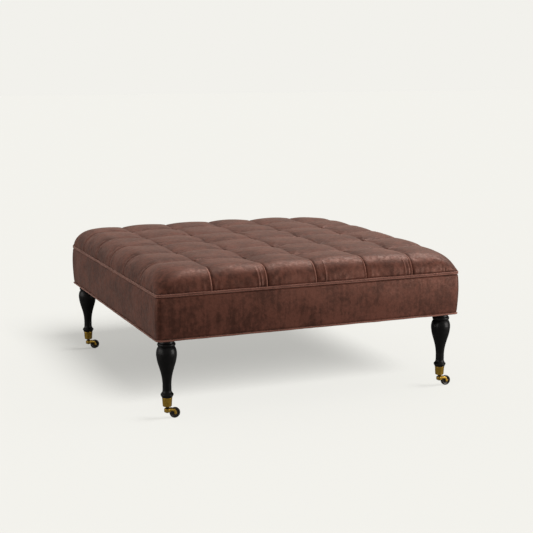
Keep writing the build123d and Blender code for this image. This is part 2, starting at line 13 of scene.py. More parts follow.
import bpy
import numpy as np
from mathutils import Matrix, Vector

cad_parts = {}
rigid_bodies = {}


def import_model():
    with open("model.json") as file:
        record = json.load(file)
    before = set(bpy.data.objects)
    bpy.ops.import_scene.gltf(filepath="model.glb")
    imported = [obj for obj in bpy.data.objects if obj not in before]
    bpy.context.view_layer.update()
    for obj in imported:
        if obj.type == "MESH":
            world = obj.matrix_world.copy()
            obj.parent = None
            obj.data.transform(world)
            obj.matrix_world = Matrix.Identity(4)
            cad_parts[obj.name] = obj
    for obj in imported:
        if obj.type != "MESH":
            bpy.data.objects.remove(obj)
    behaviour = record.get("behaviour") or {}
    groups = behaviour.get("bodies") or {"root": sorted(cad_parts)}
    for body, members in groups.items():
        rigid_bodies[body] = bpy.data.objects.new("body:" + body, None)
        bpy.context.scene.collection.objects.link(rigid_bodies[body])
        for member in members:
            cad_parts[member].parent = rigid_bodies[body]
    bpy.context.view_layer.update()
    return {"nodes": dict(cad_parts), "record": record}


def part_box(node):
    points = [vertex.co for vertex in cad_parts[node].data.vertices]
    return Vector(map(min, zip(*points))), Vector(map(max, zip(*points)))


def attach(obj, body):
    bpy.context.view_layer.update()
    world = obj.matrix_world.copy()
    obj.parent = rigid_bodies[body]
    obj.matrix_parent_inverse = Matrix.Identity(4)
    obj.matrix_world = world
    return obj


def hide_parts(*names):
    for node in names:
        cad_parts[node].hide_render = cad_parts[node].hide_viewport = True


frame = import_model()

LOG = logging.getLogger("ottoman")
MM = 0.001
CORNER_RADIUS = 14 * MM
CORNERS = {
    "front_left": (-1, -1),
    "front_right": (1, -1),
    "back_left": (-1, 1),
    "back_right": (1, 1),
}
Colour = tuple[float, float, float]
Outline = list[tuple[float, float]]


class Side(Enum):
    """A side of the table, as the turn that brings the front there, in degrees."""

    FRONT = 0
    RIGHT = 90
    BACK = 180
    LEFT = 270


# Mesh helpers


def deselect() -> None:
    """Clear the selection, because operators act on all that is selected."""
    bpy.ops.object.select_all(action="DESELECT")


def make_active(piece: bpy.types.Object) -> None:
    """Select one piece alone and make it active."""
    deselect()
    piece.select_set(True)
    bpy.context.view_layer.objects.active = piece


def named(name: str) -> bpy.types.Object:
    """Name the primitive that was just added and return it."""
    piece = bpy.context.object
    piece.name = name
    piece.data.name = name
    return piece


def points_of(piece: bpy.types.Object) -> np.ndarray:
    """Vertex places of a piece, one row of x, y and z each."""
    flat = np.empty(len(piece.data.vertices) * 3)
    piece.data.vertices.foreach_get("co", flat)
    return flat.reshape(-1, 3)


def put_points(piece: bpy.types.Object, points: np.ndarray) -> None:
    """Move a piece's vertices to the given places."""
    piece.data.vertices.foreach_set("co", np.ascontiguousarray(points, dtype=float).ravel())
    piece.data.update()


def grid_piece(name: str, columns: int, rows: int) -> tuple[bpy.types.Object, np.ndarray]:
    """Add a flat grid to be shaped.

    Args:
        name: Name of the new piece.
        columns: Cells along X.
        rows: Cells along Y.

    Returns:
        The piece, and each vertex's column and row as whole numbers.
    """
    deselect()
    bpy.ops.mesh.primitive_grid_add(x_subdivisions=columns, y_subdivisions=rows, size=2)
    piece = named(name)
    spread = (points_of(piece)[:, :2] + 1) / 2
    return piece, np.rint(spread * (columns, rows)).astype(int)


def apply_modifiers(piece: bpy.types.Object) -> None:
    """Apply every modifier of a piece, in order."""
    make_active(piece)
    for modifier in list(piece.modifiers):
        bpy.ops.object.modifier_apply(modifier=modifier.name)


def shade_smooth(piece: bpy.types.Object, angle: float = 40.0) -> None:
    """Shade a piece smooth, with edges sharper than the angle in degrees left sharp."""
    make_active(piece)
    bpy.ops.object.shade_smooth_by_angle(angle=math.radians(angle))


def edit_all(piece: bpy.types.Object) -> None:
    """Go to edit mode with all of a piece selected."""
    make_active(piece)
    bpy.ops.object.mode_set(mode="EDIT")
    bpy.ops.mesh.select_all(action="SELECT")


def merge_and_face_out(piece: bpy.types.Object) -> None:
    """Merge doubles and turn every face of a closed piece outwards."""
    edit_all(piece)
    bpy.ops.mesh.remove_doubles(threshold=0.02 * MM)
    bpy.ops.mesh.normals_make_consistent(inside=False)
    bpy.ops.object.mode_set(mode="OBJECT")


def thicken(piece: bpy.types.Object, thickness: float) -> None:
    """Give a sheet its thickness, inwards from its outer face, and shade it."""
    modifier = piece.modifiers.new("Solidify", "SOLIDIFY")
    modifier.thickness = thickness
    modifier.offset = -1
    apply_modifiers(piece)
    shade_smooth(piece, 60.0)


def select_open_edge(piece: bpy.types.Object) -> None:
    """Go to edit mode with a piece's open edge selected."""
    make_active(piece)
    bpy.ops.object.mode_set(mode="EDIT")
    bpy.ops.mesh.select_mode(type="EDGE")
    bpy.ops.mesh.select_all(action="DESELECT")
    bpy.ops.mesh.select_non_manifold()


def close_below(piece: bpy.types.Object, steps: tuple[tuple[float, float], ...]) -> None:
    """Carry a piece's open lower edge on below and close it with a flat base.

    Args:
        piece: A shell that is open at its lowest edge.
        steps: For each step, the scale of the edge about the middle and its drop.
    """
    select_open_edge(piece)
    for scale, drop in steps:
        bpy.ops.mesh.extrude_region_move(TRANSFORM_OT_translate={"value": (0, 0, -drop)})
        bpy.ops.transform.resize(value=(scale, scale, 1), center_override=(0, 0, 0))
    bpy.ops.mesh.edge_face_add()
    bpy.ops.mesh.select_mode(type="VERT")
    bpy.ops.object.mode_set(mode="OBJECT")
    merge_and_face_out(piece)


def curve_through(points: Outline, steps: int) -> Outline:
    """Smooth curve through a few points.

    Args:
        points: The points that the curve passes.
        steps: Pieces between two points.

    Returns:
        The points of the curve, both ends included.
    """
    given = np.array(points, dtype=float)
    padded = np.vstack([2 * given[0] - given[1], given, 2 * given[-1] - given[-2]])
    curve = []
    for before, start, end, after in zip(padded, padded[1:], padded[2:], padded[3:]):
        for share in np.arange(steps) / steps:
            bend = 2 * start + (end - before) * share
            bend = bend + (2 * before - 5 * start + 4 * end - after) * share ** 2
            bend = bend + (3 * start - before - 3 * end + after) * share ** 3
            curve.append(tuple(bend / 2))
    return curve + [tuple(given[-1])]


def turned(name: str, outline: Outline, place: tuple[float, float, float],
           steps: int) -> bpy.types.Object:
    """Turn a closed outline round an upright axis, as on a lathe.

    Args:
        name: Name of the new piece.
        outline: Radius and height of each corner, both ends on the axis.
        place: A point on the axis.
        steps: Steps round the whole turn.

    Returns:
        The closed piece.
    """
    deselect()
    bpy.ops.mesh.primitive_circle_add(vertices=len(outline), radius=1)
    piece = named(name)
    radius, along = np.array(outline).T
    points = np.zeros((len(outline), 3))
    points[:, 0] = radius
    points[:, 2] = along
    put_points(piece, points + place)
    edit_all(piece)
    bpy.ops.mesh.spin(steps=steps, angle=2 * math.pi, center=place, axis=(0, 0, 1))
    bpy.ops.object.mode_set(mode="OBJECT")
    merge_and_face_out(piece)
    return piece


def ripple(x: np.ndarray, y: np.ndarray, wavelength: float, seed: int, waves: int = 9) -> np.ndarray:
    """Smooth irregular waves over a surface.

    Args:
        x: First surface coordinate of each point, in metres.
        y: Second surface coordinate of each point, in metres.
        wavelength: Mean wavelength in metres.
        seed: Seed of the directions and phases.
        waves: How many plane waves are added up.

    Returns:
        One value for each point, mostly between -1 and 1.
    """
    draw = np.random.default_rng(seed)
    total = np.zeros(np.broadcast(x, y).shape)
    for _ in range(waves):
        turn, phase = draw.uniform(0, 2 * np.pi, 2)
        pace = 2 * np.pi / (wavelength * draw.uniform(0.7, 1.5))
        total += np.sin(pace * (x * np.cos(turn) + y * np.sin(turn)) + phase)
    return total / math.sqrt(waves)


def eased(value: np.ndarray, low: float, high: float) -> np.ndarray:
    """Smooth step from 0 at low to 1 at high."""
    share = np.clip((value - low) / (high - low), 0, 1)
    return share * share * (3 - 2 * share)


# The tufted top


@dataclass
class TopForm:
    """Sizes of the tufted top, and the surface that they give.

    The surface has two coordinates, the lengths s and t along it from the middle towards +X
    and +Y, over the rolled edge and down the hem.
    """

    half: float
    crown_z: float
    hem_low_z: float
    roll_radius: float = 64 * MM
    corner_radius: float = CORNER_RADIUS
    mitre_softening: float = 60 * MM
    pitch: float = 165 * MM
    lines: int = 5
    tuft_depth: float = 22 * MM
    crease_depth: float = 5.2 * MM
    pleat_depth: float = 8 * MM
    seam_pleat_depth: float = 5 * MM
    lean: float = 3 * MM
    sharp_width: float = 2.6 * MM
    side_pleats: float = 0.72
    lip_height: float = 3.2 * MM
    lip_width: float = 2.3 * MM
    lip_shift: float = 2.1
    wander: float = 1.2 * MM
    wander_length: float = 0.12
    tuft_spread: float = 15 * MM
    pleat_run: float = 30 * MM
    lean_reach: float = 10 * MM
    lean_behind: float = 0.2
    broad_share: float = 0.6
    crisp_between: float = 0.26
    crisp_at_tuft: float = 0.46
    crisp_at_seam: float = 0.52
    crisp_most: float = 0.8
    crisp_folded: float = 0.85
    corner_drop: float = 5.5 * MM
    corner_skew: float = 0.8
    search: tuple[float, float] = (0.2, 1.7)
    search_steps: int = 34
    front_drift: tuple[float, ...] = (0, 9 * MM, 4 * MM, 5.5 * MM, 0)

    @property
    def roll_z(self) -> float:
        """Height of the rolled edge's lower end."""
        return self.crown_z - self.roll_radius

    @property
    def flat(self) -> float:
        """Half the width of the top between the rolled edges."""
        return self.half - self.roll_radius

    @property
    def arc(self) -> float:
        """Length over the rolled edge."""
        return self.roll_radius * math.pi / 2

    @property
    def shoulder(self) -> float:
        """Length from the last tuft line to the rolled edge."""
        return self.flat - self.tufts[-1]

    @property
    def reach(self) -> float:
        """Length from the middle to the hem's lower edge."""
        return self.flat + self.arc + self.roll_z - self.hem_low_z

    @property
    def tufts(self) -> np.ndarray:
        """Places of the tuft lines, each way."""
        return (np.arange(self.lines) - (self.lines - 1) / 2) * self.pitch

    def nearest(self, place: np.ndarray) -> np.ndarray:
        """Place of the tuft line nearest to each place."""
        return np.clip(np.rint(place / self.pitch), -(self.lines // 2), self.lines // 2) * self.pitch

    def grid_lines(self, count: int, folds: tuple[float, ...] = ()) -> np.ndarray:
        """Grid lines across the top, closer together beside the tuft lines and the folds.

        Args:
            count: Cells between two tuft lines.
            folds: Places of narrow folds, each of which gets lines of its own.

        Returns:
            The surface coordinates of the lines, from one hem to the other.
        """
        share = np.arange(count) / count
        crowded = share - 0.72 * np.sin(2 * np.pi * share) / (2 * np.pi)
        inner = [low + self.pitch * crowded for low in self.tufts[:-1]]
        outer_share = np.linspace(0, 1, round(count * 1.15) + 1)
        outer = self.tufts[-1] + (self.reach - self.tufts[-1]) * outer_share ** 1.18
        lines = np.concatenate([-outer[:0:-1], *inner, outer])
        for fold in folds:
            fan = fold + 1.3 * MM * np.arange(-3, 4)
            clear = (lines < fan[0] - 1 * MM) | (lines > fan[-1] + 1 * MM)
            lines = np.concatenate([lines[clear], fan])
        return np.sort(lines)

    def outside(self, points: np.ndarray) -> np.ndarray:
        """How far points lie outside the form's contour at their own height."""
        climb = np.clip((points[:, 2] - self.roll_z) / self.roll_radius, 0, None)
        out = self.flat + self.roll_radius * np.sqrt(np.clip(1 - climb ** 2, 0, None))
        bend = self.corner_radius + self.mitre_softening * np.sqrt(np.clip(climb, 0, 1))
        past = np.abs(points[:, :2]) - (out - bend)[:, None]
        beyond = np.hypot(*np.clip(past, 0, None).T)
        return np.where(climb > 1, climb, beyond + np.minimum(past.max(axis=1), 0) - bend)

    def surface(self, s: np.ndarray, t: np.ndarray) -> tuple[np.ndarray, np.ndarray]:
        """Points and outward directions of the smooth form, before it is tufted.

        Args:
            s: Surface coordinates towards +X.
            t: Surface coordinates towards +Y.

        Returns:
            The points, and the directions away from the foam.
        """
        past_s = np.clip(np.abs(s) - self.flat, 0, None)
        past_t = np.clip(np.abs(t) - self.flat, 0, None)
        past = np.maximum(past_s, past_t)
        turn = np.minimum(past, self.arc) / self.roll_radius
        swing = np.minimum(past_s, past_t) / np.maximum(past, 1e-9) * math.pi / 4
        swing = np.where(past_t > past_s, math.pi / 2 - swing, swing)
        away = np.column_stack([
            np.sign(s) * np.cos(swing) * np.sin(turn),
            np.sign(t) * np.sin(swing) * np.sin(turn),
            np.cos(turn),
        ])
        start = np.column_stack([
            np.clip(s, -self.flat, self.flat),
            np.clip(t, -self.flat, self.flat),
            np.full_like(s, self.roll_z),
        ])
        low = np.full_like(s, self.search[0])
        high = np.full_like(s, self.search[1])
        for _ in range(self.search_steps):
            middle = (low + high) / 2
            is_out = self.outside(start + away * (middle * self.roll_radius)[:, None]) > 0
            high = np.where(is_out, middle, high)
            low = np.where(is_out, low, middle)
        points = start + away * (low * self.roll_radius)[:, None]
        points[:, 2] -= np.clip(past - self.arc, 0, None)
        return points, away

    def off_line(self, across: np.ndarray, along: np.ndarray) -> np.ndarray:
        """Distance from the nearest tuft line, which wanders a little along its run."""
        line = self.nearest(across)
        return across - line - self.wander * ripple(along, line, self.wander_length, 5)

    def line_depth(self, across: np.ndarray, along: np.ndarray, crispness: float) -> np.ndarray:
        """Depth that the tuft lines of one direction give, with their pleats.

        Args:
            across: Surface coordinates across the lines.
            along: Surface coordinates along the lines.
            crispness: How sharply the lines are creased, 1 at the most.

        Returns:
            The depth at each point.
        """
        offset = self.off_line(across, along)
        gap = np.abs(offset)
        beside = np.abs(along - self.nearest(along))
        broad = np.clip(1 - beside / (self.pitch / 2), 0, 1) ** 1.3
        beside_tuft = np.exp(-((beside / self.tuft_spread) ** 1.2))
        near = self.broad_share * broad + (1 - self.broad_share) * beside_tuft
        past = np.clip(np.abs(along) - self.tufts[-1], 0, None)
        fade = eased(past, self.shoulder, self.reach - self.tufts[-1])
        crease = self.crease_depth + (self.tuft_depth / 2 - self.crease_depth) * near
        pleat = self.pleat_depth + (self.seam_pleat_depth - self.pleat_depth) * fade
        pleat = pleat + (self.tuft_depth / 2 - self.pleat_depth) * np.exp(-past / self.pleat_run)
        pleat = pleat * (1.0 if crispness == 1 else self.side_pleats)
        depth = np.where(past > 0, pleat, crease)
        sharp = self.crisp_between + self.crisp_at_tuft * beside_tuft + self.crisp_at_seam * fade
        crisp = crispness * np.clip(sharp, 0, self.crisp_most)
        folded = self.folded(past) * (crispness == 1)
        crisp = crisp + (self.crisp_folded - crisp) * folded * (offset < 0)
        share = np.clip(1 - gap / (self.pitch / 2), 0, 1)
        profile = (1 - crisp) * share ** 2.3 + crisp * np.exp(-gap / self.sharp_width)
        return depth * profile - folded * self.lip_height * self.lip(offset)

    def folded(self, past: np.ndarray) -> np.ndarray:
        """How far a pleat is folded over, from the rolled edge's shoulder down."""
        return eased(past, self.shoulder, self.shoulder + 0.6 * self.arc)

    def lip(self, offset: np.ndarray) -> np.ndarray:
        """The raised edge of a folded pleat, 1 on its crest."""
        return np.exp(-(((offset + self.lip_shift * self.lip_width) / self.lip_width) ** 2))

    def crest_highlight(self, s: np.ndarray, t: np.ndarray) -> np.ndarray:
        """Share of painted highlight, a lighter velvet colour on the crests of the front and back
        pleats.
        """
        past = np.clip(np.abs(t) - self.tufts[-1], 0, None)
        low = eased(past, 0.7 * self.shoulder, self.shoulder + 0.3 * self.arc)
        return low * self.lip(self.off_line(s, t))

    def leaning(self, across: np.ndarray) -> np.ndarray:
        """Shift towards the next pillow, because each fold leans over its crease."""
        offset = across - self.nearest(across)
        gap = np.abs(offset) / self.lean_reach
        return np.where(offset < 0, 1.0, self.lean_behind) * self.lean * gap * np.exp(1 - gap)

    def drifting(self, s: np.ndarray, t: np.ndarray) -> np.ndarray:
        """Shift of the front pleats along the seam, growing on the way down to it."""
        line = self.nearest(s)
        drift = np.array(self.front_drift)[np.rint(line / self.pitch).astype(int) + self.lines // 2]
        share = np.clip(np.abs(s - line) / (self.pitch / 2), 0, 1)
        return drift * np.cos(np.pi / 2 * share) ** 2 * eased(-t, self.tufts[-1], self.reach)

    def tufted(self, s: np.ndarray, t: np.ndarray) -> tuple[np.ndarray, np.ndarray]:
        """Points and outward directions of the tufted form."""
        points, away = self.surface(s + self.leaning(s) + self.drifting(s, t), t + self.leaning(t))
        depth = self.line_depth(s, t, 1.0) + self.line_depth(t, s, 0.9)
        high = np.clip((points[:, 2] - self.roll_z) / self.roll_radius, 0, 1)
        cornered = np.clip(np.abs(points[:, 0] * points[:, 1]) / self.flat ** 2, 0, 1) ** 3
        skew = 1 + self.corner_skew * points[:, 0] / self.half
        points[:, 2] -= self.corner_drop * skew * cornered * high
        return points - away * depth[:, None], away


@dataclass
class TuftedTop:
    """Velvet top, blind-tufted in a square grid over a rolled edge."""

    form: TopForm
    sewn_width: float = 3 * MM
    largest_rise: float = 3 * MM
    pressure: float = 4.0
    slack: float = 0.004
    frames: int = 20
    skirt: tuple[tuple[float, float], ...] = ((0.9938, 1.5 * MM), (1.0, 9.3 * MM), (0.985, 0.0))
    coarse_count: int = 18
    fine_count: int = 44
    stitch_radius: float = 5 * MM
    stitch_cover: float = 1 * MM
    stitch_slope: float = 0.6
    waviness: float = 1.1 * MM
    wave_length: float = 0.19
    fold_reach: float = 75 * MM
    folds_to_a_tuft: int = 6
    front_fold_width: float = 1.8 * MM
    # share of painted highlight on the front folds, for each millimetre of their height
    fold_highlight: float = 0.16
    front_folds: tuple[tuple[int, float, float], ...] = (
        (1, -27 * MM, 1.5 * MM), (1, -19 * MM, 0.9 * MM), (2, 31 * MM, 2.3 * MM),
        (4, -15 * MM, 1.0 * MM), (4, -26 * MM, 1.5 * MM),
    )

    def shaped(self, name: str, count: int,
               folds: tuple[float, ...] = ()) -> tuple[bpy.types.Object, np.ndarray, np.ndarray]:
        """Make the tufted surface as a grid.

        Args:
            name: Name of the new piece.
            count: Cells between two tuft lines.
            folds: Places across the front of narrow folds.

        Returns:
            The piece, its surface coordinates and its outward directions.
        """
        columns, rows = self.form.grid_lines(count, folds), self.form.grid_lines(count)
        piece, index = grid_piece(name, len(columns) - 1, len(rows) - 1)
        s, t = columns[index[:, 0]], rows[index[:, 1]]
        points, away = self.form.tufted(s, t)
        put_points(piece, points)
        return piece, np.column_stack([s, t]), away

    def swelling(self) -> tuple[np.ndarray, np.ndarray]:
        """Blow the cover up over its foam as cloth that is sewn down at the tufts and lines.

        Returns:
            The grid lines of the cloth, and its rise and shift at each crossing.
        """
        cloth, place, _ = self.shaped("cloth_trial", self.coarse_count)
        start = points_of(cloth)
        form = self.form
        gap = np.abs(place - np.stack([form.nearest(place[:, 0]), form.nearest(place[:, 1])], 1))
        sewn = (gap.min(axis=1) < self.sewn_width) | (np.abs(place).max(axis=1) > form.flat + form.arc)
        held = cloth.vertex_groups.new(name="sewn")
        held.add([int(i) for i in np.flatnonzero(sewn)], 1.0, "REPLACE")
        modifier = cloth.modifiers.new("Cloth", "CLOTH")
        settings = modifier.settings
        settings.vertex_group_mass = held.name
        settings.use_pressure = True
        settings.uniform_pressure_force = self.pressure
        settings.shrink_min = -self.slack
        settings.effector_weights.gravity = 0
        modifier.point_cache.frame_end = self.frames
        for number in range(1, self.frames + 1):
            bpy.context.scene.frame_set(number)
        solved = cloth.evaluated_get(bpy.context.evaluated_depsgraph_get()).data
        flat = np.empty(len(solved.vertices) * 3)
        solved.vertices.foreach_get("co", flat)
        move = flat.reshape(-1, 3) - start
        length = np.linalg.norm(move, axis=1, keepdims=True)
        move *= self.largest_rise * np.tanh(length / self.largest_rise) / np.maximum(length, 1e-9)
        lines = form.grid_lines(self.coarse_count)
        order = np.lexsort((place[:, 0], place[:, 1]))
        bpy.data.objects.remove(cloth)
        bpy.context.scene.frame_set(1)
        LOG.info("cloth rise %.1f mm at most", length.max() / MM)
        return lines, move[order].reshape(len(lines), len(lines), 3)

    def spread(self, lines: np.ndarray, moves: np.ndarray, place: np.ndarray) -> np.ndarray:
        """Read the cloth's rise at other places of the surface, between its grid lines."""
        row = np.clip(np.searchsorted(lines, place[:, 1]) - 1, 0, len(lines) - 2)
        column = np.clip(np.searchsorted(lines, place[:, 0]) - 1, 0, len(lines) - 2)
        up = ((place[:, 1] - lines[row]) / (lines[row + 1] - lines[row]))[:, None]
        over = ((place[:, 0] - lines[column]) / (lines[column + 1] - lines[column]))[:, None]
        low = moves[row, column] * (1 - over) + moves[row, column + 1] * over
        high = moves[row + 1, column] * (1 - over) + moves[row + 1, column + 1] * over
        return low * (1 - up) + high * up

    def tuft_folds(self, place: np.ndarray) -> np.ndarray:
        """Small folds that run out from every tuft, as heights."""
        draw = np.random.default_rng(31)
        height = np.zeros(len(place))
        for tuft_s in self.form.tufts:
            for tuft_t in self.form.tufts:
                off = place - (tuft_s, tuft_t)
                far = np.hypot(off[:, 0], off[:, 1])
                close = np.flatnonzero(far < self.fold_reach)
                angle = np.arctan2(off[close, 1], off[close, 0])
                for _ in range(self.folds_to_a_tuft):
                    turn = draw.uniform(0, 2 * np.pi)
                    run = draw.uniform(18, 40) * MM
                    size = draw.uniform(0.5, 1.5) * MM
                    side = far[close] * np.abs(np.sin(angle - turn))
                    ahead = np.cos(angle - turn) > 0
                    width = 2.2 * MM + 0.07 * far[close]
                    out = far[close] / run
                    rise = np.exp(-((side / width) ** 2)) * out * np.exp(1 - out)
                    height[close] += size * rise * ahead
        return height

    def front_fold_heights(self, place: np.ndarray) -> np.ndarray:
        """The larger second folds of the front, as heights."""
        form = self.form
        up = form.reach + place[:, 1]
        height = np.zeros(len(place))
        for line, offset, size in self.front_folds:
            fan = place[:, 0] - form.tufts[line] - offset * (1 + 0.1 * up / form.arc)
            fan = fan / self.front_fold_width
            fold = np.exp(-(fan ** 2)) - 0.45 * np.exp(-((fan - 1.9) ** 2))
            height += size * fold * (1 - eased(up, 25 * MM, 85 * MM))
        return height

    def mark_crest_highlight(self, piece: bpy.types.Object, place: np.ndarray) -> None:
        """Store the painted highlight at each point, for the velvet's colour: a lighter colour on the
        pleat crests and on the front folds' ridges.
        """
        crest_highlight = self.form.crest_highlight(place[:, 0], place[:, 1])
        # the front folds' ridges get painted highlight in step with their height
        crest_highlight += self.fold_highlight * np.clip(self.front_fold_heights(place) / MM, 0, None)
        layer = piece.data.attributes.new("crushed_nap", "FLOAT", "POINT")
        layer.data.foreach_set("value", np.clip(crest_highlight, 0, 1))

    def pleat_folds(self, place: np.ndarray) -> np.ndarray:
        """Small second folds beside the pleats, low on the rolled edge, as heights."""
        draw = np.random.default_rng(47)
        form = self.form
        height = np.zeros(len(place))
        for across, along in ((place[:, 0], place[:, 1]), (place[:, 1], place[:, 0])):
            for sign in (-1, 1):
                for line in form.tufts:
                    for _ in range(2):
                        middle = line + draw.choice((-1, 1)) * draw.uniform(9, 32) * MM
                        size = draw.uniform(0.1, 0.7) * MM
                        width = draw.uniform(2.2, 4.5) * MM
                        run = draw.uniform(30, 75) * MM
                        up = form.reach - along * sign
                        fan = (across - middle - (middle - line) * 0.25 * up / run) / width
                        height += size * np.exp(-(fan ** 2)) * (1 - eased(up, 0.25 * run, run))
        return height

    def seam_puckers(self, place: np.ndarray) -> np.ndarray:
        """Fine gathers just above the seam, as heights."""
        form = self.form
        steep = np.abs(place).max(axis=1)
        along = np.where(np.abs(place[:, 0]) > np.abs(place[:, 1]), place[:, 1], place[:, 0])
        near = eased(steep, form.reach - 34 * MM, form.reach - 6 * MM)
        return near * (0.45 * MM * ripple(along, along * 0, 17 * MM, 71)
                       + 0.5 * MM * ripple(along, steep, 60 * MM, 72))

    def cover_stitches(self, points: np.ndarray, place: np.ndarray) -> None:
        """Keep the cover above the ends of the twines that hold it down at the tufts."""
        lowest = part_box("tufting_twines")[1][2] + self.stitch_cover
        off = place - np.stack([self.form.nearest(place[:, 0]), self.form.nearest(place[:, 1])], 1)
        beside = np.clip(np.hypot(off[:, 0], off[:, 1]) - self.stitch_radius, 0, None)
        points[:, 2] = np.maximum(points[:, 2], lowest - self.stitch_slope * beside)

    def build(self) -> bpy.types.Object:
        """Shape the cover, let it swell, fold it and close it below.

        Returns:
            The closed cover.
        """
        folds = tuple(self.form.tufts[line] + offset for line, offset, _ in self.front_folds)
        piece, place, away = self.shaped("tufted_top", self.fine_count, folds)
        points = points_of(piece)
        points = points + self.spread(*self.swelling(), place)
        height = self.tuft_folds(place) + self.pleat_folds(place) + self.seam_puckers(place)
        height += self.front_fold_heights(place)
        height += self.waviness * ripple(place[:, 0], place[:, 1], self.wave_length, 3)
        points = points + away * height[:, None]
        self.cover_stitches(points, place)
        put_points(piece, points)
        self.mark_crest_highlight(piece, place)
        close_below(piece, self.skirt)
        shade_smooth(piece, 180.0)
        return piece


# Border, pipings and dust cover


@dataclass
class SquareBand:
    """A square band with rounded corners, round which border and pipings run."""

    half: float
    corner_radius: float = CORNER_RADIUS

    @property
    def run(self) -> float:
        """Half the straight length of a side."""
        return self.half - self.corner_radius

    @property
    def side_reach(self) -> float:
        """Length from the middle of a side to the mitre at its end."""
        return self.run + self.corner_radius * math.pi / 4

    def place(self, along: np.ndarray, out: np.ndarray, side: Side) -> tuple[np.ndarray, np.ndarray]:
        """Points beside one side of the band.

        Args:
            along: Lengths from the middle of the side.
            out: Distances outwards from the band.
            side: Which side of the table it is.

        Returns:
            The x and the y of each point.
        """
        swing = np.clip(np.abs(along) - self.run, 0, None) / self.corner_radius
        reach = self.corner_radius + out
        x = np.sign(along) * (np.minimum(np.abs(along), self.run) + reach * np.sin(swing))
        y = -(self.run + reach * np.cos(swing))
        turn = math.radians(side.value)
        return x * math.cos(turn) - y * math.sin(turn), x * math.sin(turn) + y * math.cos(turn)

    def stations(self, straight: int, bend: int) -> np.ndarray:
        """Lengths along one side, evenly along its straight run and along each bend."""
        ends = np.linspace(self.run, self.side_reach, bend + 1)[1:]
        return np.concatenate([-ends[::-1], np.linspace(-self.run, self.run, straight + 1), ends])


@dataclass
class BoxBorder:
    """Padded velvet border, one panel to a side, drawn in along its edges."""

    band: SquareBand
    foot_z: float
    top_z: float
    swell: float = 3.9 * MM
    foot_inset: float = 0.4 * MM
    tuck: float = 3.0 * MM
    turn_under: float = 4.2 * MM
    thickness: float = 7 * MM
    straight: int = 150
    bend: int = 9
    rows: int = 34
    tuck_width: float = 1.4 * MM
    pull_width: float = 14 * MM
    calm_run: float = 60 * MM
    uneven: float = 0.55 * MM
    gathers: float = 0.28 * MM

    def build(self) -> list[bpy.types.Object]:
        """Make the four panels and return them, in the order of the sides."""
        return [self.panel(side, 100 + 10 * number) for number, side in enumerate(Side)]

    def panel(self, side: Side, seed: int) -> bpy.types.Object:
        """Make one padded panel.

        Args:
            side: Which side of the table it covers.
            seed: Seed of its unevenness.

        Returns:
            The closed panel.
        """
        stations = self.band.stations(self.straight, self.bend)
        piece, index = grid_piece(f"border_panel_{side.name.lower()}", len(stations) - 1, self.rows)
        along = stations[index[:, 0]]
        up = (1 - np.cos(np.pi * np.clip(index[:, 1] - 1, 0, None) / (self.rows - 1))) / 2
        belly = np.sin(np.pi * up ** 1.25) ** 0.8
        edge = np.minimum(up, 1 - up) * (self.top_z - self.foot_z)
        out = self.swell * belly - self.foot_inset * (1 - up)
        out -= self.tuck * np.exp(-edge / self.tuck_width)
        at_mitre = 1 - eased(np.abs(along), self.band.run - self.calm_run, self.band.run)
        height = up * (self.top_z - self.foot_z)
        out += self.uneven * ripple(along, height, 0.13, seed) * at_mitre * belly
        pull = np.exp(-edge / self.pull_width) * at_mitre
        out += self.gathers * ripple(along, height * 0.2, 15 * MM, seed + 1) * pull
        x, y = self.band.place(along, out, side)
        under = np.where(index[:, 1] == 0, self.turn_under, 0)
        put_points(piece, np.column_stack([x, y, self.foot_z + height - under]))
        edit_all(piece)
        bpy.ops.mesh.normals_make_consistent(inside=False)
        bpy.ops.object.mode_set(mode="OBJECT")
        if piece.data.polygons[0].normal.dot(piece.data.vertices[0].co) < 0:
            piece.data.flip_normals()
        thicken(piece, self.thickness)
        return piece


@dataclass
class Piping:
    """One velvet-covered cord sewn into a seam all round the table."""

    name: str
    band: SquareBand
    z: float
    radius: float
    seed: int
    straight: int = 150
    bend: int = 7
    sides: int = 12
    calm_run: float = 40 * MM
    sway: float = 0.35 * MM
    droop: float = 0.25 * MM

    def build(self) -> bpy.types.Object:
        """Make the cord as a closed ring.

        Returns:
            The ring.
        """
        stations = self.band.stations(self.straight, self.bend)[:-1]
        count = len(stations) * len(Side)
        deselect()
        bpy.ops.mesh.primitive_torus_add(
            major_segments=count, minor_segments=self.sides, major_radius=1, minor_radius=0.25
        )
        piece = named(self.name)
        points = points_of(piece)
        round_ring = np.arctan2(points[:, 1], points[:, 0]) / (2 * np.pi) * count
        section = np.arctan2(points[:, 2], np.hypot(points[:, 0], points[:, 1]) - 1)
        index = np.rint(round_ring).astype(int) % count
        number, station = np.divmod(index, len(stations))
        along = stations[station]
        for side_number, side in enumerate(Side):
            mine = number == side_number
            here = along[mine]
            at_mitre = 1 - eased(np.abs(here), self.band.run - self.calm_run, self.band.run)
            thick = self.radius * (1 + 0.05 * at_mitre * ripple(here, here * 0, 26 * MM, self.seed))
            sway = self.sway * at_mitre * ripple(here, here * 0, 0.09, self.seed + side_number + 1)
            drop = self.droop * at_mitre * ripple(here, here * 0, 0.12, self.seed + side_number + 5)
            x, y = self.band.place(here, thick * np.cos(section[mine]) + sway, side)
            points[mine] = np.column_stack([x, y, self.z + drop + thick * np.sin(section[mine])])
        put_points(piece, points)
        merge_and_face_out(piece)
        shade_smooth(piece, 180.0)
        return piece


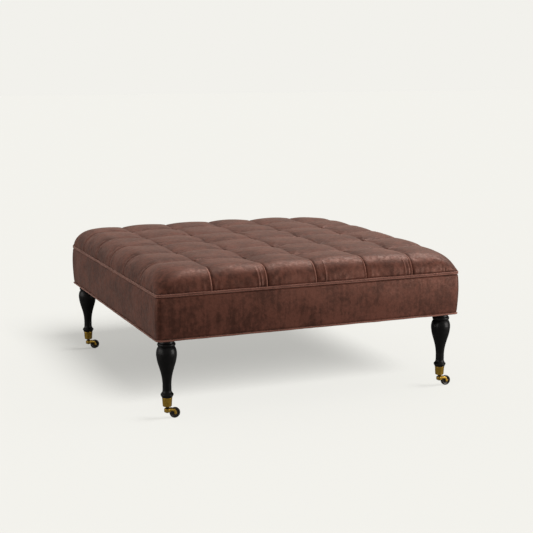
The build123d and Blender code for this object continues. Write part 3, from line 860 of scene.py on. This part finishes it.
@dataclass
class DustCover:
    """Thin black cloth stapled under the frame, sagging a little between its staples."""

    half: float
    low_z: float
    thickness: float = 0.6 * MM
    sag: float = 3 * MM
    cells: int = 72

    def build(self) -> bpy.types.Object:
        """Make the cloth.

        Returns:
            The sheet, with its thickness.
        """
        piece, index = grid_piece("dust_cloth", self.cells, self.cells)
        place = (index / self.cells * 2 - 1) * self.half
        inside = self.half - np.abs(place).max(axis=1)
        loose = eased(inside, 40 * MM, 260 * MM)
        droop = self.sag * loose + 0.5 * MM * loose * ripple(place[:, 0], place[:, 1], 0.2, 91)
        put_points(piece, np.column_stack([place, self.low_z + self.thickness - droop]))
        thicken(piece, self.thickness)
        return piece


# Legs and castors


@dataclass
class TurnedLeg:
    """Turned leg: bead, ankle, vase, ring and collar, from the cup to the frame."""

    at: tuple[float, float]
    foot_z: float
    top_z: float
    steps: int = 96
    ring_height: float = 12 * MM
    collar_height: float = 15.4 * MM
    collar_radius: float = 23.3 * MM
    spigot_radius: float = 11.6 * MM
    spigot: float = 22 * MM

    def outline(self) -> Outline:
        """Radius and height of the leg's outline, closed along its axis."""
        collar_low = self.top_z - self.collar_height
        ring_low = collar_low - self.ring_height
        foot = self.foot_z
        bead = [(15.1, 0), (16.4, 2.5), (18.2, 5.5), (19.2, 8.2)]
        over_bead = [(19.2, 9.6), (17.8, 11.9), (15.7, 14.6), (14.0, 17.8), (13.3, 21.4), (13.2, 24.5)]
        vase = [
            (13.2, 41.5), (13.5, 47.5), (14.4, 56.5), (15.9, 65.5), (17.8, 74.5), (20.3, 83.5),
            (22.9, 92.5), (25.6, 101.5), (27.9, 110.5), (29.4, 119.5), (30.3, 126.5),
            (30.5, 133.5), (30.1, 137.5), (29.0, 143.5), (27.2, 148.5), (24.6, 153.0),
        ]
        shift = np.array([0, foot])
        curves = [
            curve_through(bead, 3), curve_through(over_bead, 4), curve_through(vase, 3),
        ]
        points = [(0, foot - self.spigot), (self.spigot_radius, foot - self.spigot)]
        points.append((self.spigot_radius, foot))
        for curve in curves:
            points += [tuple(np.array(point) * MM + shift) for point in curve]
        ring = curve_through([(23.8, 0.4), (26.0, 2.6), (26.9, 6), (26.0, 9.4), (23.4, 11.8)], 3)
        points += [(r * MM, ring_low + h * MM) for r, h in ring]
        collar = self.collar_radius
        points += [(collar, collar_low), (collar, self.top_z), (0, self.top_z)]
        return points

    def build(self, name: str) -> bpy.types.Object:
        """Turn the leg.

        Args:
            name: Name of the new piece.

        Returns:
            The closed leg.
        """
        piece = turned(name, self.outline(), (*self.at, 0), self.steps)
        shade_smooth(piece, 35.0)
        return piece


def smoothed_copy(node: str, name: str, bevel: float) -> bpy.types.Object:
    """Copy a frame node as one joined skin with softened edges.

    Args:
        node: The frame's node.
        name: Name of the new piece.
        bevel: Width of its softened edges.

    Returns:
        The copy.
    """
    source = frame["nodes"][node]
    piece = bpy.data.objects.new(name, source.data.copy())
    piece.data.name = name
    bpy.context.collection.objects.link(piece)
    merge_and_face_out(piece)
    edit_all(piece)
    bpy.ops.mesh.customdata_custom_splitnormals_clear()
    bpy.ops.mesh.dissolve_limited(angle_limit=math.radians(1))
    bpy.ops.object.mode_set(mode="OBJECT")
    modifier = piece.modifiers.new("Bevel", "BEVEL")
    modifier.width = bevel
    modifier.segments = 2
    modifier.limit_method = "ANGLE"
    modifier.angle_limit = math.radians(50)
    modifier.harden_normals = False
    apply_modifiers(piece)
    shade_smooth(piece, 35.0)
    return piece


# Finishes


def group_tree(name: str, inputs: dict[str, tuple[str, object]],
               outputs: dict[str, str]) -> bpy.types.NodeTree:
    """Start a shader node group.

    Args:
        name: Name of the group.
        inputs: Kind and default of each input socket.
        outputs: Kind of each output socket.

    Returns:
        The node tree, with its input and output nodes in it.
    """
    tree = bpy.data.node_groups.new(name, "ShaderNodeTree")
    for label, (kind, default) in inputs.items():
        socket = tree.interface.new_socket(label, in_out="INPUT", socket_type=kind)
        if default is not None:
            socket.default_value = default
    for label, kind in outputs.items():
        tree.interface.new_socket(label, in_out="OUTPUT", socket_type=kind)
    tree.nodes.new("NodeGroupInput")
    tree.nodes.new("NodeGroupOutput")
    return tree


@dataclass
class Wiring:
    """A node tree with short ways to add and link its nodes."""

    tree: bpy.types.NodeTree

    def add(self, kind: str, options: dict[str, object] | None = None,
            **values: object) -> bpy.types.Node:
        """Add a node, set its options, and set or link its inputs.

        Args:
            kind: Blender's name of the node type.
            options: Settings of the node, by name.
            **values: A value or a socket for each input, by the input's name.

        Returns:
            The node.
        """
        node = self.tree.nodes.new(kind)
        for name, option in (options or {}).items():
            setattr(node, name, option)
        self.fill(node, **values)
        return node

    def fill(self, node: bpy.types.Node, **values: object) -> None:
        """Set or link a node's inputs, by their names with underscores for spaces."""
        for name, value in values.items():
            self.feed(node.inputs[name.replace("_", " ")], value)

    def feed(self, socket: bpy.types.NodeSocket, value: object) -> None:
        """Link a socket to an input, or set the input's own value."""
        if isinstance(value, bpy.types.NodeSocket):
            self.tree.links.new(value, socket)
        else:
            socket.default_value = value

    def noise(self, place: bpy.types.NodeSocket, scale: object, detail: float = 3.0,
              rough: float = 0.55, warp: float = 0.0) -> bpy.types.NodeSocket:
        """Add a noise and return its value, between 0 and 1."""
        node = self.add("ShaderNodeTexNoise", Vector=place, Scale=scale, Detail=detail,
                        Roughness=rough, Distortion=warp)
        return node.outputs["Factor" if "Factor" in node.outputs else "Fac"]

    def streaks(self, place: bpy.types.NodeSocket, squeeze: tuple[float, float, float],
                scale: object) -> bpy.types.NodeSocket:
        """Add a noise that is drawn out along the axes with a small squeeze."""
        drawn = self.add("ShaderNodeMapping", Vector=place)
        drawn.inputs["Scale"].default_value = squeeze
        return self.noise(drawn.outputs["Vector"], scale, 4.0, 0.6, 0.3)

    def ramp(self, value: object, low: float, high: float, start: float = 0.0,
             end: float = 1.0) -> bpy.types.NodeSocket:
        """Stretch a value from one range to another, with soft ends."""
        node = self.add("ShaderNodeMapRange", {"interpolation_type": "SMOOTHSTEP"}, Value=value,
                        From_Min=low, From_Max=high, To_Min=start, To_Max=end)
        return node.outputs["Result"]

    def maths(self, operation: str, first: object, second: object) -> bpy.types.NodeSocket:
        """Add a maths node of two values and return its result."""
        node = self.add("ShaderNodeMath", {"operation": operation})
        self.feed(node.inputs[0], first)
        self.feed(node.inputs[1], second)
        return node.outputs[0]

    def mix(self, share: object, first: object, second: object) -> bpy.types.NodeSocket:
        """Mix two colours and return the result."""
        node = self.add("ShaderNodeMix", {"data_type": "RGBA"})
        self.feed(node.inputs["Factor"], share)
        self.feed(node.inputs[6], first)
        self.feed(node.inputs[7], second)
        return node.outputs[2]

    @property
    def given(self) -> bpy.types.NodeOutputs:
        """The sockets that a group takes."""
        return self.tree.nodes["Group Input"].outputs

    def give(self, **values: bpy.types.NodeSocket) -> None:
        """Link what a group puts out."""
        self.fill(self.tree.nodes["Group Output"], **values)


def opaque(colour: Colour) -> tuple[float, float, float, float]:
    """A colour with full alpha, as a socket takes it."""
    return (*colour, 1.0)


def mottle_group() -> bpy.types.NodeTree:
    """Cloudy change between two colours, in broad clouds, finer patches and brushed streaks.

    The streaks run down the upright faces and across the level ones.
    """
    tree = group_tree("mottle", {
        "Place": ("NodeSocketVector", None),
        "Facing": ("NodeSocketVector", None),
        "Dark": ("NodeSocketColor", None),
        "Light": ("NodeSocketColor", None),
        "Broad": ("NodeSocketFloat", 9.0),
        "Fine": ("NodeSocketFloat", 70.0),
        "Streaks": ("NodeSocketFloat", 0.3),
    }, {"Colour": "NodeSocketColor"})
    wiring = Wiring(tree)
    given = wiring.given
    broad = wiring.noise(given["Place"], given["Broad"], 4.0, 0.6, 0.4)
    fine = wiring.noise(given["Place"], given["Fine"], 5.0, 0.65, 0.2)
    upright = wiring.streaks(given["Place"], (1.0, 1.0, 0.12), given["Fine"])
    level = wiring.streaks(given["Place"], (0.16, 1.0, 0.16), given["Fine"])
    facing = wiring.add("ShaderNodeSeparateXYZ", Vector=given["Facing"])
    steep = wiring.ramp(wiring.maths("ABSOLUTE", facing.outputs["Z"], 0.0), 0.45, 0.9)
    streak = wiring.add("ShaderNodeMapRange", Value=steep, To_Min=upright, To_Max=level)
    both = wiring.maths("ADD", wiring.maths("MULTIPLY", broad, 0.55),
                        wiring.maths("MULTIPLY", fine, 0.45))
    swing = wiring.maths("MULTIPLY", wiring.maths("SUBTRACT", streak.outputs["Result"], 0.5),
                         given["Streaks"])
    mask = wiring.ramp(wiring.maths("ADD", both, swing), 0.375, 0.625)
    wiring.give(Colour=wiring.mix(mask, given["Dark"], given["Light"]))
    return tree


def nap_group() -> bpy.types.NodeTree:
    """Height of a short pile: fine fibres and small crushed places."""
    tree = group_tree("nap", {
        "Place": ("NodeSocketVector", None),
        "Fibre": ("NodeSocketFloat", 1400.0),
        "Crush": ("NodeSocketFloat", 110.0),
    }, {"Height": "NodeSocketFloat"})
    wiring = Wiring(tree)
    given = wiring.given
    fibre = wiring.noise(given["Place"], given["Fibre"], 2.0)
    crush = wiring.noise(given["Place"], given["Crush"], 4.0, 0.6, 0.3)
    wiring.give(Height=wiring.maths("ADD", wiring.maths("MULTIPLY", fibre, 0.3), crush))
    return tree


def wear_group() -> bpy.types.NodeTree:
    """Blotches and fine scratches for metal and lacquer: a mask and a roughness."""
    tree = group_tree("wear", {
        "Place": ("NodeSocketVector", None),
        "Blotch": ("NodeSocketFloat", 120.0),
        "Smooth": ("NodeSocketFloat", 0.25),
        "Rough": ("NodeSocketFloat", 0.5),
    }, {"Mask": "NodeSocketFloat", "Roughness": "NodeSocketFloat", "Height": "NodeSocketFloat"})
    wiring = Wiring(tree)
    given = wiring.given
    blotch = wiring.noise(given["Place"], given["Blotch"], 5.0, 0.65, 0.6)
    grain = wiring.noise(given["Place"], wiring.maths("MULTIPLY", given["Blotch"], 9.0), 3.0)
    mask = wiring.ramp(blotch, 0.35, 0.68)
    blend = wiring.add("ShaderNodeMapRange", Value=mask, To_Min=given["Smooth"],
                       To_Max=given["Rough"])
    wiring.give(Mask=mask, Roughness=blend.outputs["Result"], Height=grain)
    return tree


def grain_group() -> bpy.types.NodeTree:
    """Long grain of wood along one axis: colour and height."""
    tree = group_tree("grain", {
        "Place": ("NodeSocketVector", None),
        "Dark": ("NodeSocketColor", None),
        "Light": ("NodeSocketColor", None),
        "Scale": ("NodeSocketFloat", 60.0),
    }, {"Colour": "NodeSocketColor", "Height": "NodeSocketFloat"})
    wiring = Wiring(tree)
    given = wiring.given
    stretch = wiring.add("ShaderNodeMapping", Vector=given["Place"])
    stretch.inputs["Scale"].default_value = (0.08, 1.0, 1.0)
    streak = wiring.noise(stretch.outputs["Vector"], given["Scale"], 6.0, 0.6, 1.2)
    wiring.give(Colour=wiring.mix(wiring.ramp(streak, 0.35, 0.65), given["Dark"], given["Light"]),
                Height=streak)
    return tree


@dataclass(frozen=True)
class Groups:
    """The node groups that the finishes share."""

    mottle: bpy.types.NodeTree
    nap: bpy.types.NodeTree
    wear: bpy.types.NodeTree
    grain: bpy.types.NodeTree


def add_mottle(wiring: Wiring, groups: Groups, place: bpy.types.NodeSocket,
               **values: object) -> bpy.types.NodeSocket:
    """Place the mottle group in a material and return its colour."""
    facing = wiring.add("ShaderNodeTexCoord").outputs["Normal"]
    node = wiring.add("ShaderNodeGroup", {"node_tree": groups.mottle}, Place=place, Facing=facing,
                      **values)
    return node.outputs["Colour"]


def finish_start(name: str) -> tuple[bpy.types.Material, Wiring, bpy.types.Node, bpy.types.NodeSocket]:
    """Start a material.

    Args:
        name: Name of the material.

    Returns:
        The material, its wiring, its main shader and the object coordinates.
    """
    material = bpy.data.materials.new(name)
    material.use_nodes = True
    wiring = Wiring(material.node_tree)
    shader = material.node_tree.nodes["Principled BSDF"]
    place = wiring.add("ShaderNodeTexCoord").outputs["Object"]
    return material, wiring, shader, place


def add_bump(wiring: Wiring, shader: bpy.types.Node, height: bpy.types.NodeSocket,
             strength: float, distance: float) -> None:
    """Feed a height into a shader's normal through a bump."""
    bump = wiring.add("ShaderNodeBump", Height=height, Strength=strength, Distance=distance)
    wiring.feed(shader.inputs["Normal"], bump.outputs["Normal"])


@dataclass(frozen=True)
class VelvetFinish:
    """Short-piled velvet with a mottled nap, a pale sheen and a painted highlight on the pleat crests.
    """

    name: str
    dark: Colour
    light: Colour
    sheen: Colour
    # painted highlight colour for the pleat crests, far lighter than the velvet
    crest_highlight: Colour = (0.4, 0.18, 0.135)
    gloss: Colour = (1.0, 0.5, 0.38)
    sheen_weight: float = 0.22
    shine: float = 0.58
    smooth: float = 0.4
    rough: float = 0.56
    broad: float = 13.0
    fine: float = 80.0
    streaks: float = 0.36

    def make(self, groups: Groups) -> bpy.types.Material:
        """Build the material."""
        material, wiring, shader, place = finish_start(self.name)
        mottle = add_mottle(wiring, groups, place, Dark=opaque(self.dark), Light=opaque(self.light),
                            Broad=self.broad, Fine=self.fine, Streaks=self.streaks)
        brushed = wiring.noise(place, self.fine * 1.3, 4.0, 0.6, 0.3)
        roughness = wiring.ramp(brushed, 0.35, 0.65, self.smooth, self.rough)
        nap = wiring.add("ShaderNodeGroup", {"node_tree": groups.nap}, Place=place)
        # painted highlight: the stored crest share mixes a lighter colour into the base colour
        wear_and_highlight = wiring.add("ShaderNodeAttribute", {"attribute_name": "crushed_nap"}).outputs["Fac"]
        wiring.fill(shader, Base_Color=wiring.mix(wear_and_highlight, mottle, opaque(self.crest_highlight)),
                    Roughness=roughness, Specular_IOR_Level=self.shine,
                    Specular_Tint=opaque(self.gloss), Sheen_Weight=self.sheen_weight,
                    Sheen_Roughness=0.5, Sheen_Tint=opaque(self.sheen))
        add_bump(wiring, shader, nap.outputs["Height"], 0.5, 0.9 * MM)
        return material


@dataclass(frozen=True)
class WornFinish:
    """Metal, lacquer or moulding, with blotches that change its colour and gloss."""

    name: str
    clean: Colour
    wear_and_highlight: Colour
    metallic: float
    smooth: float
    rough: float
    blotch: float = 120.0
    coat: float = 0.0
    bump: float = 0.15
    gloss: float = 0.5

    def make(self, groups: Groups) -> bpy.types.Material:
        """Build the material."""
        material, wiring, shader, place = finish_start(self.name)
        wear = wiring.add("ShaderNodeGroup", {"node_tree": groups.wear}, Place=place,
                          Blotch=self.blotch, Smooth=self.smooth, Rough=self.rough)
        colour = wiring.mix(wear.outputs["Mask"], opaque(self.clean), opaque(self.wear_and_highlight))
        wiring.fill(shader, Base_Color=colour, Roughness=wear.outputs["Roughness"],
                    Metallic=self.metallic, Specular_IOR_Level=self.gloss,
                    Coat_Weight=self.coat, Coat_Roughness=0.12)
        add_bump(wiring, shader, wear.outputs["Height"], self.bump, 0.15 * MM)
        return material


@dataclass(frozen=True)
class WoodFinish:
    """Bare wood with long grain."""

    name: str
    dark: Colour
    light: Colour
    scale: float = 60.0

    def make(self, groups: Groups) -> bpy.types.Material:
        """Build the material."""
        material, wiring, shader, place = finish_start(self.name)
        grain = wiring.add("ShaderNodeGroup", {"node_tree": groups.grain}, Place=place,
                           Dark=opaque(self.dark), Light=opaque(self.light), Scale=self.scale)
        wiring.fill(shader, Base_Color=grain.outputs["Colour"], Roughness=0.6)
        add_bump(wiring, shader, grain.outputs["Height"], 0.3, 0.3 * MM)
        return material


@dataclass(frozen=True)
class ClothFinish:
    """Plain cloth, felt, foam or twine: mottled, with a fine fibrous surface."""

    name: str
    dark: Colour
    light: Colour
    fibre: float = 900.0

    def make(self, groups: Groups) -> bpy.types.Material:
        """Build the material."""
        material, wiring, shader, place = finish_start(self.name)
        mottle = add_mottle(wiring, groups, place, Dark=opaque(self.dark), Light=opaque(self.light),
                            Broad=30.0, Fine=300.0, Streaks=0.0)
        nap = wiring.add("ShaderNodeGroup", {"node_tree": groups.nap}, Place=place, Fibre=self.fibre)
        wiring.fill(shader, Base_Color=mottle, Roughness=0.9)
        add_bump(wiring, shader, nap.outputs["Height"], 0.4, 0.5 * MM)
        return material


def build_finishes() -> dict[str, bpy.types.Material]:
    """Make every material, by the name of the record's slot that it stands for."""
    groups = Groups(mottle_group(), nap_group(), wear_group(), grain_group())
    finishes = {
        "velvet": VelvetFinish("velvet", (0.038, 0.0115, 0.0076), (0.126, 0.0425, 0.0288),
                               (1.0, 0.6, 0.48)),
        # the cords' velvet is a lighter copy of the top's velvet, which paints a highlight along the
        # seam's light lines
        "seam_cord": VelvetFinish("piping_velvet", (0.17, 0.066, 0.049), (0.26, 0.108, 0.082),
                                  (1.0, 0.72, 0.62), sheen_weight=0.45, broad=22.0, fine=160.0),
        "black_leg": WornFinish("black_lacquer", (0.004, 0.004, 0.004), (0.008, 0.007, 0.007),
                                0.0, 0.32, 0.42, 60.0, 0.02, 0.03, 0.2),
        "aged_brass": WornFinish("aged_brass", (0.62, 0.38, 0.06), (0.33, 0.19, 0.03),
                                 0.85, 0.28, 0.5, 170.0),
        "dark_wheel": WornFinish("wheel_moulding", (0.014, 0.009, 0.007), (0.026, 0.015, 0.009),
                                 0.0, 0.25, 0.42, 200.0, 0.1),
        "dark_steel": WornFinish("dark_steel", (0.05, 0.045, 0.04), (0.02, 0.017, 0.015),
                                 1.0, 0.3, 0.55),
        "zinc_steel": WornFinish("zinc_steel", (0.55, 0.55, 0.54), (0.3, 0.3, 0.29), 1.0, 0.28, 0.5),
        "hardwood": WoodFinish("beech", (0.36, 0.2, 0.1), (0.55, 0.36, 0.2)),
        "plywood": WoodFinish("birch_ply", (0.45, 0.3, 0.16), (0.66, 0.48, 0.3), 35.0),
        "wadding": ClothFinish("wadding", (0.75, 0.75, 0.73), (0.86, 0.86, 0.84), 400.0),
        "foam": ClothFinish("foam", (0.7, 0.64, 0.42), (0.8, 0.75, 0.52)),
        "dust_cloth": ClothFinish("dust_cloth", (0.012, 0.012, 0.012), (0.028, 0.028, 0.028), 1200.0),
        "twine": ClothFinish("twine", (0.5, 0.44, 0.34), (0.66, 0.6, 0.48), 1800.0),
    }
    return {slot: finish.make(groups) for slot, finish in finishes.items()}


# The table, put together


@dataclass
class Table:
    """The dressed table: its materials, and the pieces on their bodies."""

    finishes: dict[str, bpy.types.Material]
    base_drop: float = 5.5 * MM
    piping_press: float = 0.4 * MM
    crown_drop: float = 2 * MM
    count: int = 0

    def dress(self, piece: bpy.types.Object, slot: str, body: str, *nodes: str) -> None:
        """Give a new piece its finish, its body and the nodes that it stands for."""
        piece.data.materials.clear()
        piece.data.materials.append(self.finishes[slot])
        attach(piece, body)
        if nodes:
            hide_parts(*nodes)
        self.count += 1
        LOG.info("%s on %s, %d faces", piece.name, body, len(piece.data.polygons))

    def dress_frame(self) -> None:
        """Give every frame node the finish of its slot."""
        for row in frame["record"]["subparts"]:
            node = frame["nodes"][row["node"]]
            node.data.materials.clear()
            node.data.materials.append(self.finishes[row["material_slot"]])

    def upholster(self) -> None:
        """Make the top, the border, the pipings and the dust cover."""
        cover_low, cover_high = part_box("tufted_cover")
        half = (cover_high[0] - cover_low[0]) / 2
        form = TopForm(half=half, crown_z=cover_high[2] - self.crown_drop, hem_low_z=cover_low[2])
        piece = TuftedTop(form).build()
        self.dress(piece, "velvet", "root", "tufted_cover", "wadding_layer", "foam_pad")
        self.make_border(half)
        self.make_pipings(half)
        dust_low, dust_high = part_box("dust_cover")
        dust = DustCover(half=dust_high[0], low_z=dust_low[2]).build()
        self.dress(dust, "dust_cloth", "root", "dust_cover")

    def make_border(self, half: float) -> None:
        """Make the border's panels, where the frame's are."""
        low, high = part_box("border_front")
        border = BoxBorder(SquareBand(half), foot_z=low[2] - self.base_drop, top_z=high[2])
        for piece, side in zip(border.build(), Side):
            nodes = [f"border_{side.name.lower()}"]
            if side is Side.FRONT:
                nodes.append("border_wadding")
            self.dress(piece, "velvet", "root", *nodes)

    def make_pipings(self, half: float) -> None:
        """Make the three rings of piping, pressed a little thinner than the frame's."""
        for seed, name, shift in ((200, "upper_piping", -self.piping_press),
                                  (220, "lower_piping", self.piping_press),
                                  (240, "base_piping", -self.base_drop)):
            low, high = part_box(name)
            radius = (high[2] - low[2]) / 2
            out = high[0] - radius - half
            band = SquareBand(half + out, CORNER_RADIUS + out)
            ring = Piping(f"{name}_cord", band, (low[2] + high[2]) / 2 + shift,
                          radius - self.piping_press, seed).build()
            self.dress(ring, "seam_cord", "root", name)

    def add_legs(self) -> None:
        """Turn the legs and smooth the castors."""
        for corner in CORNERS:
            low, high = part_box(f"leg_{corner}")
            at = ((low[0] + high[0]) / 2, (low[1] + high[1]) / 2)
            cup_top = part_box(f"cup_{corner}")[1][2]
            leg = TurnedLeg(at=at, foot_z=cup_top, top_z=high[2])
            self.dress(leg.build(f"turned_leg_{corner}"), "black_leg", "root", f"leg_{corner}")
            for kind, slot, body, bevel in (
                ("cup", "aged_brass", "root", 0.3 * MM),
                ("pintle", "dark_steel", "root", 0.2 * MM),
                ("fork", "aged_brass", f"fork_{corner}", 0.5 * MM),
                ("axle", "aged_brass", f"fork_{corner}", 0.2 * MM),
                ("wheel", "dark_wheel", f"wheel_{corner}", 0.3 * MM),
            ):
                node = f"{kind}_{corner}"
                self.dress(smoothed_copy(node, f"castor_{node}", bevel), slot, body, node)


# Studio


LAMP_COLOUR: Colour = (1.0, 0.97, 0.93)


def aim_from(lamp: bpy.types.Object, direction: tuple[float, float, float]) -> None:
    """Turn a lamp so that it shines from a direction towards the table."""
    x, y, z = direction
    lamp.rotation_euler = (math.atan2(math.hypot(x, y), z), 0, math.atan2(x, -y))


@dataclass(frozen=True)
class Sun:
    """A soft distant light.

    Its place is the direction that it shines from, seen from the table.
    """

    name: str
    place: tuple[float, float, float]
    spread: float
    strength: float
    lights: str = "table"
    shades: tuple[str, ...] = ()

    def build(self) -> bpy.types.Object:
        """Hang the light and return it."""
        deselect()
        bpy.ops.object.light_add(type="SUN", location=self.place)
        lamp = bpy.context.object
        lamp.name = self.name
        lamp.data.angle = math.radians(self.spread)
        lamp.data.energy = self.strength
        lamp.data.color = LAMP_COLOUR if self.lights == "table" else (1.0, 1.0, 1.0)
        aim_from(lamp, self.place)
        return lamp


@dataclass(frozen=True)
class Softbox:
    """A square soft light beside the table."""

    name: str
    place: tuple[float, float, float]
    target: tuple[float, float, float]
    size: float
    power: float
    lights: str = "table"

    def build(self) -> bpy.types.Object:
        """Hang the light and return it."""
        deselect()
        bpy.ops.object.light_add(type="AREA", location=self.place)
        lamp = bpy.context.object
        lamp.name = self.name
        lamp.data.size = self.size
        lamp.data.energy = self.power
        lamp.data.color = LAMP_COLOUR
        aim_from(lamp, tuple(np.subtract(self.place, self.target)))
        return lamp


@dataclass(frozen=True)
class Studio:
    """Pale floor, soft light and the camera at the photograph's angle."""

    camera_place: tuple[float, float, float] = (-1.489, -3.658, 1.041)
    pitch_down: float = 9.97
    yaw: float = 22.80
    lens: float = 80.0
    sensor: float = 36.0
    sight: float = 200.0
    floor_size: float = 60.0
    pale: Colour = (0.888, 0.880, 0.838)
    floor_glow: float = 0.4
    floor_white: float = 0.3
    floor_bounce: float = 0.1
    room_light: float = 0.32
    lamps: tuple[Sun | Softbox, ...] = (
        Sun("floor_sun", (0.3, -1.45, 1.0), 30.0, 7.5, "floor", ("dust_cloth",)),
        Sun("low_floor_sun", (1.1, -0.35, 1.0), 30.0, 2.0, "floor", ("castor_",)),
        Sun("key_sun", (0.58, 0.25, 1.0), 36.0, 1.95),
        Sun("left_sun", (-1.0, 0.05, 0.03), 60.0, 1.9),
        Softbox("right_softbox", (1.9, -1.9, 0.5), (0.4, -0.5, 0.3), 1.4, 38.0),
    )

    def set_camera(self) -> None:
        """Place the camera."""
        deselect()
        turn = (math.radians(90 - self.pitch_down), 0, math.radians(-self.yaw))
        bpy.ops.object.camera_add(location=self.camera_place, rotation=turn)
        camera = bpy.context.object
        camera.name = "photo_camera"
        camera.data.lens = self.lens
        camera.data.sensor_width = self.sensor
        camera.data.sensor_fit = "HORIZONTAL"
        camera.data.clip_end = self.sight
        bpy.context.scene.camera = camera

    def set_floor(self) -> bpy.types.Object:
        """Lay the floor, which glows a little so that its shadows stay pale.

        Returns:
            The floor.
        """
        deselect()
        bpy.ops.mesh.primitive_plane_add(size=self.floor_size)
        floor = named("studio_floor")
        material, wiring, shader, place = finish_start("studio_floor")
        paper = wiring.ramp(wiring.noise(place, 3.0), 0.0, 1.0,
                            self.floor_white * 0.998, self.floor_white)
        seen = wiring.add("ShaderNodeLightPath").outputs["Is Camera Ray"]
        white = wiring.add("ShaderNodeMapRange", Value=seen, To_Min=self.floor_bounce, To_Max=paper)
        shade = wiring.mix(white.outputs["Result"], opaque((0, 0, 0)), opaque(self.pale))
        glow = wiring.mix(seen, opaque((0, 0, 0)), opaque(self.pale))
        wiring.fill(shader, Base_Color=shade, Emission_Color=glow, Roughness=1.0,
                    Emission_Strength=self.floor_glow, Specular_IOR_Level=0.0)
        floor.data.materials.append(material)
        return floor

    def set_light(self, floor: bpy.types.Object) -> None:
        """Hang the lights and fill the room with pale light.

        Args:
            floor: The floor, which has a lamp of its own.
        """
        world = bpy.data.worlds.new("studio_world")
        world.use_nodes = True
        wiring = Wiring(world.node_tree)
        backdrop = world.node_tree.nodes["Background"]
        backdrop.inputs["Color"].default_value = opaque(self.pale)
        seen = wiring.add("ShaderNodeLightPath").outputs["Is Camera Ray"]
        level = wiring.add("ShaderNodeMapRange", Value=seen, To_Min=self.room_light, To_Max=1.0)
        wiring.feed(backdrop.inputs["Strength"], level.outputs["Result"])
        bpy.context.scene.world = world
        receivers = {}
        for lit, state in (("table", "EXCLUDE"), ("floor", "INCLUDE")):
            receivers[lit] = bpy.data.collections.new(f"lit_{lit}")
            receivers[lit].objects.link(floor)
            receivers[lit].collection_objects[0].light_linking.link_state = state
        for lamp in self.lamps:
            lamp.build().light_linking.receiver_collection = receivers[lamp.lights]

    def set_floor_shadow(self) -> None:
        """Let only the named parts of the table shade the floor from its own lamps."""
        for lamp in self.lamps:
            if lamp.lights == "floor":
                shading = bpy.data.collections.new(f"shading_{lamp.name}")
                for piece in bpy.data.objects:
                    if piece.type == "MESH" and piece.name.startswith(lamp.shades):
                        shading.objects.link(piece)
                bpy.data.objects[lamp.name].light_linking.blocker_collection = shading

    def build(self) -> None:
        """Set up the whole studio."""
        bpy.context.scene.view_settings.view_transform = "Standard"
        self.set_camera()
        self.set_light(self.set_floor())


def main() -> None:
    """Build the dressed table in its studio."""
    logging.basicConfig(level=logging.INFO, format="%(name)s: %(message)s")
    studio = Studio()
    studio.build()
    table = Table(build_finishes())
    table.dress_frame()
    table.upholster()
    table.add_legs()
    studio.set_floor_shadow()
    LOG.info("%d pieces dressed", table.count)


if __name__ == "__main__":
    main()
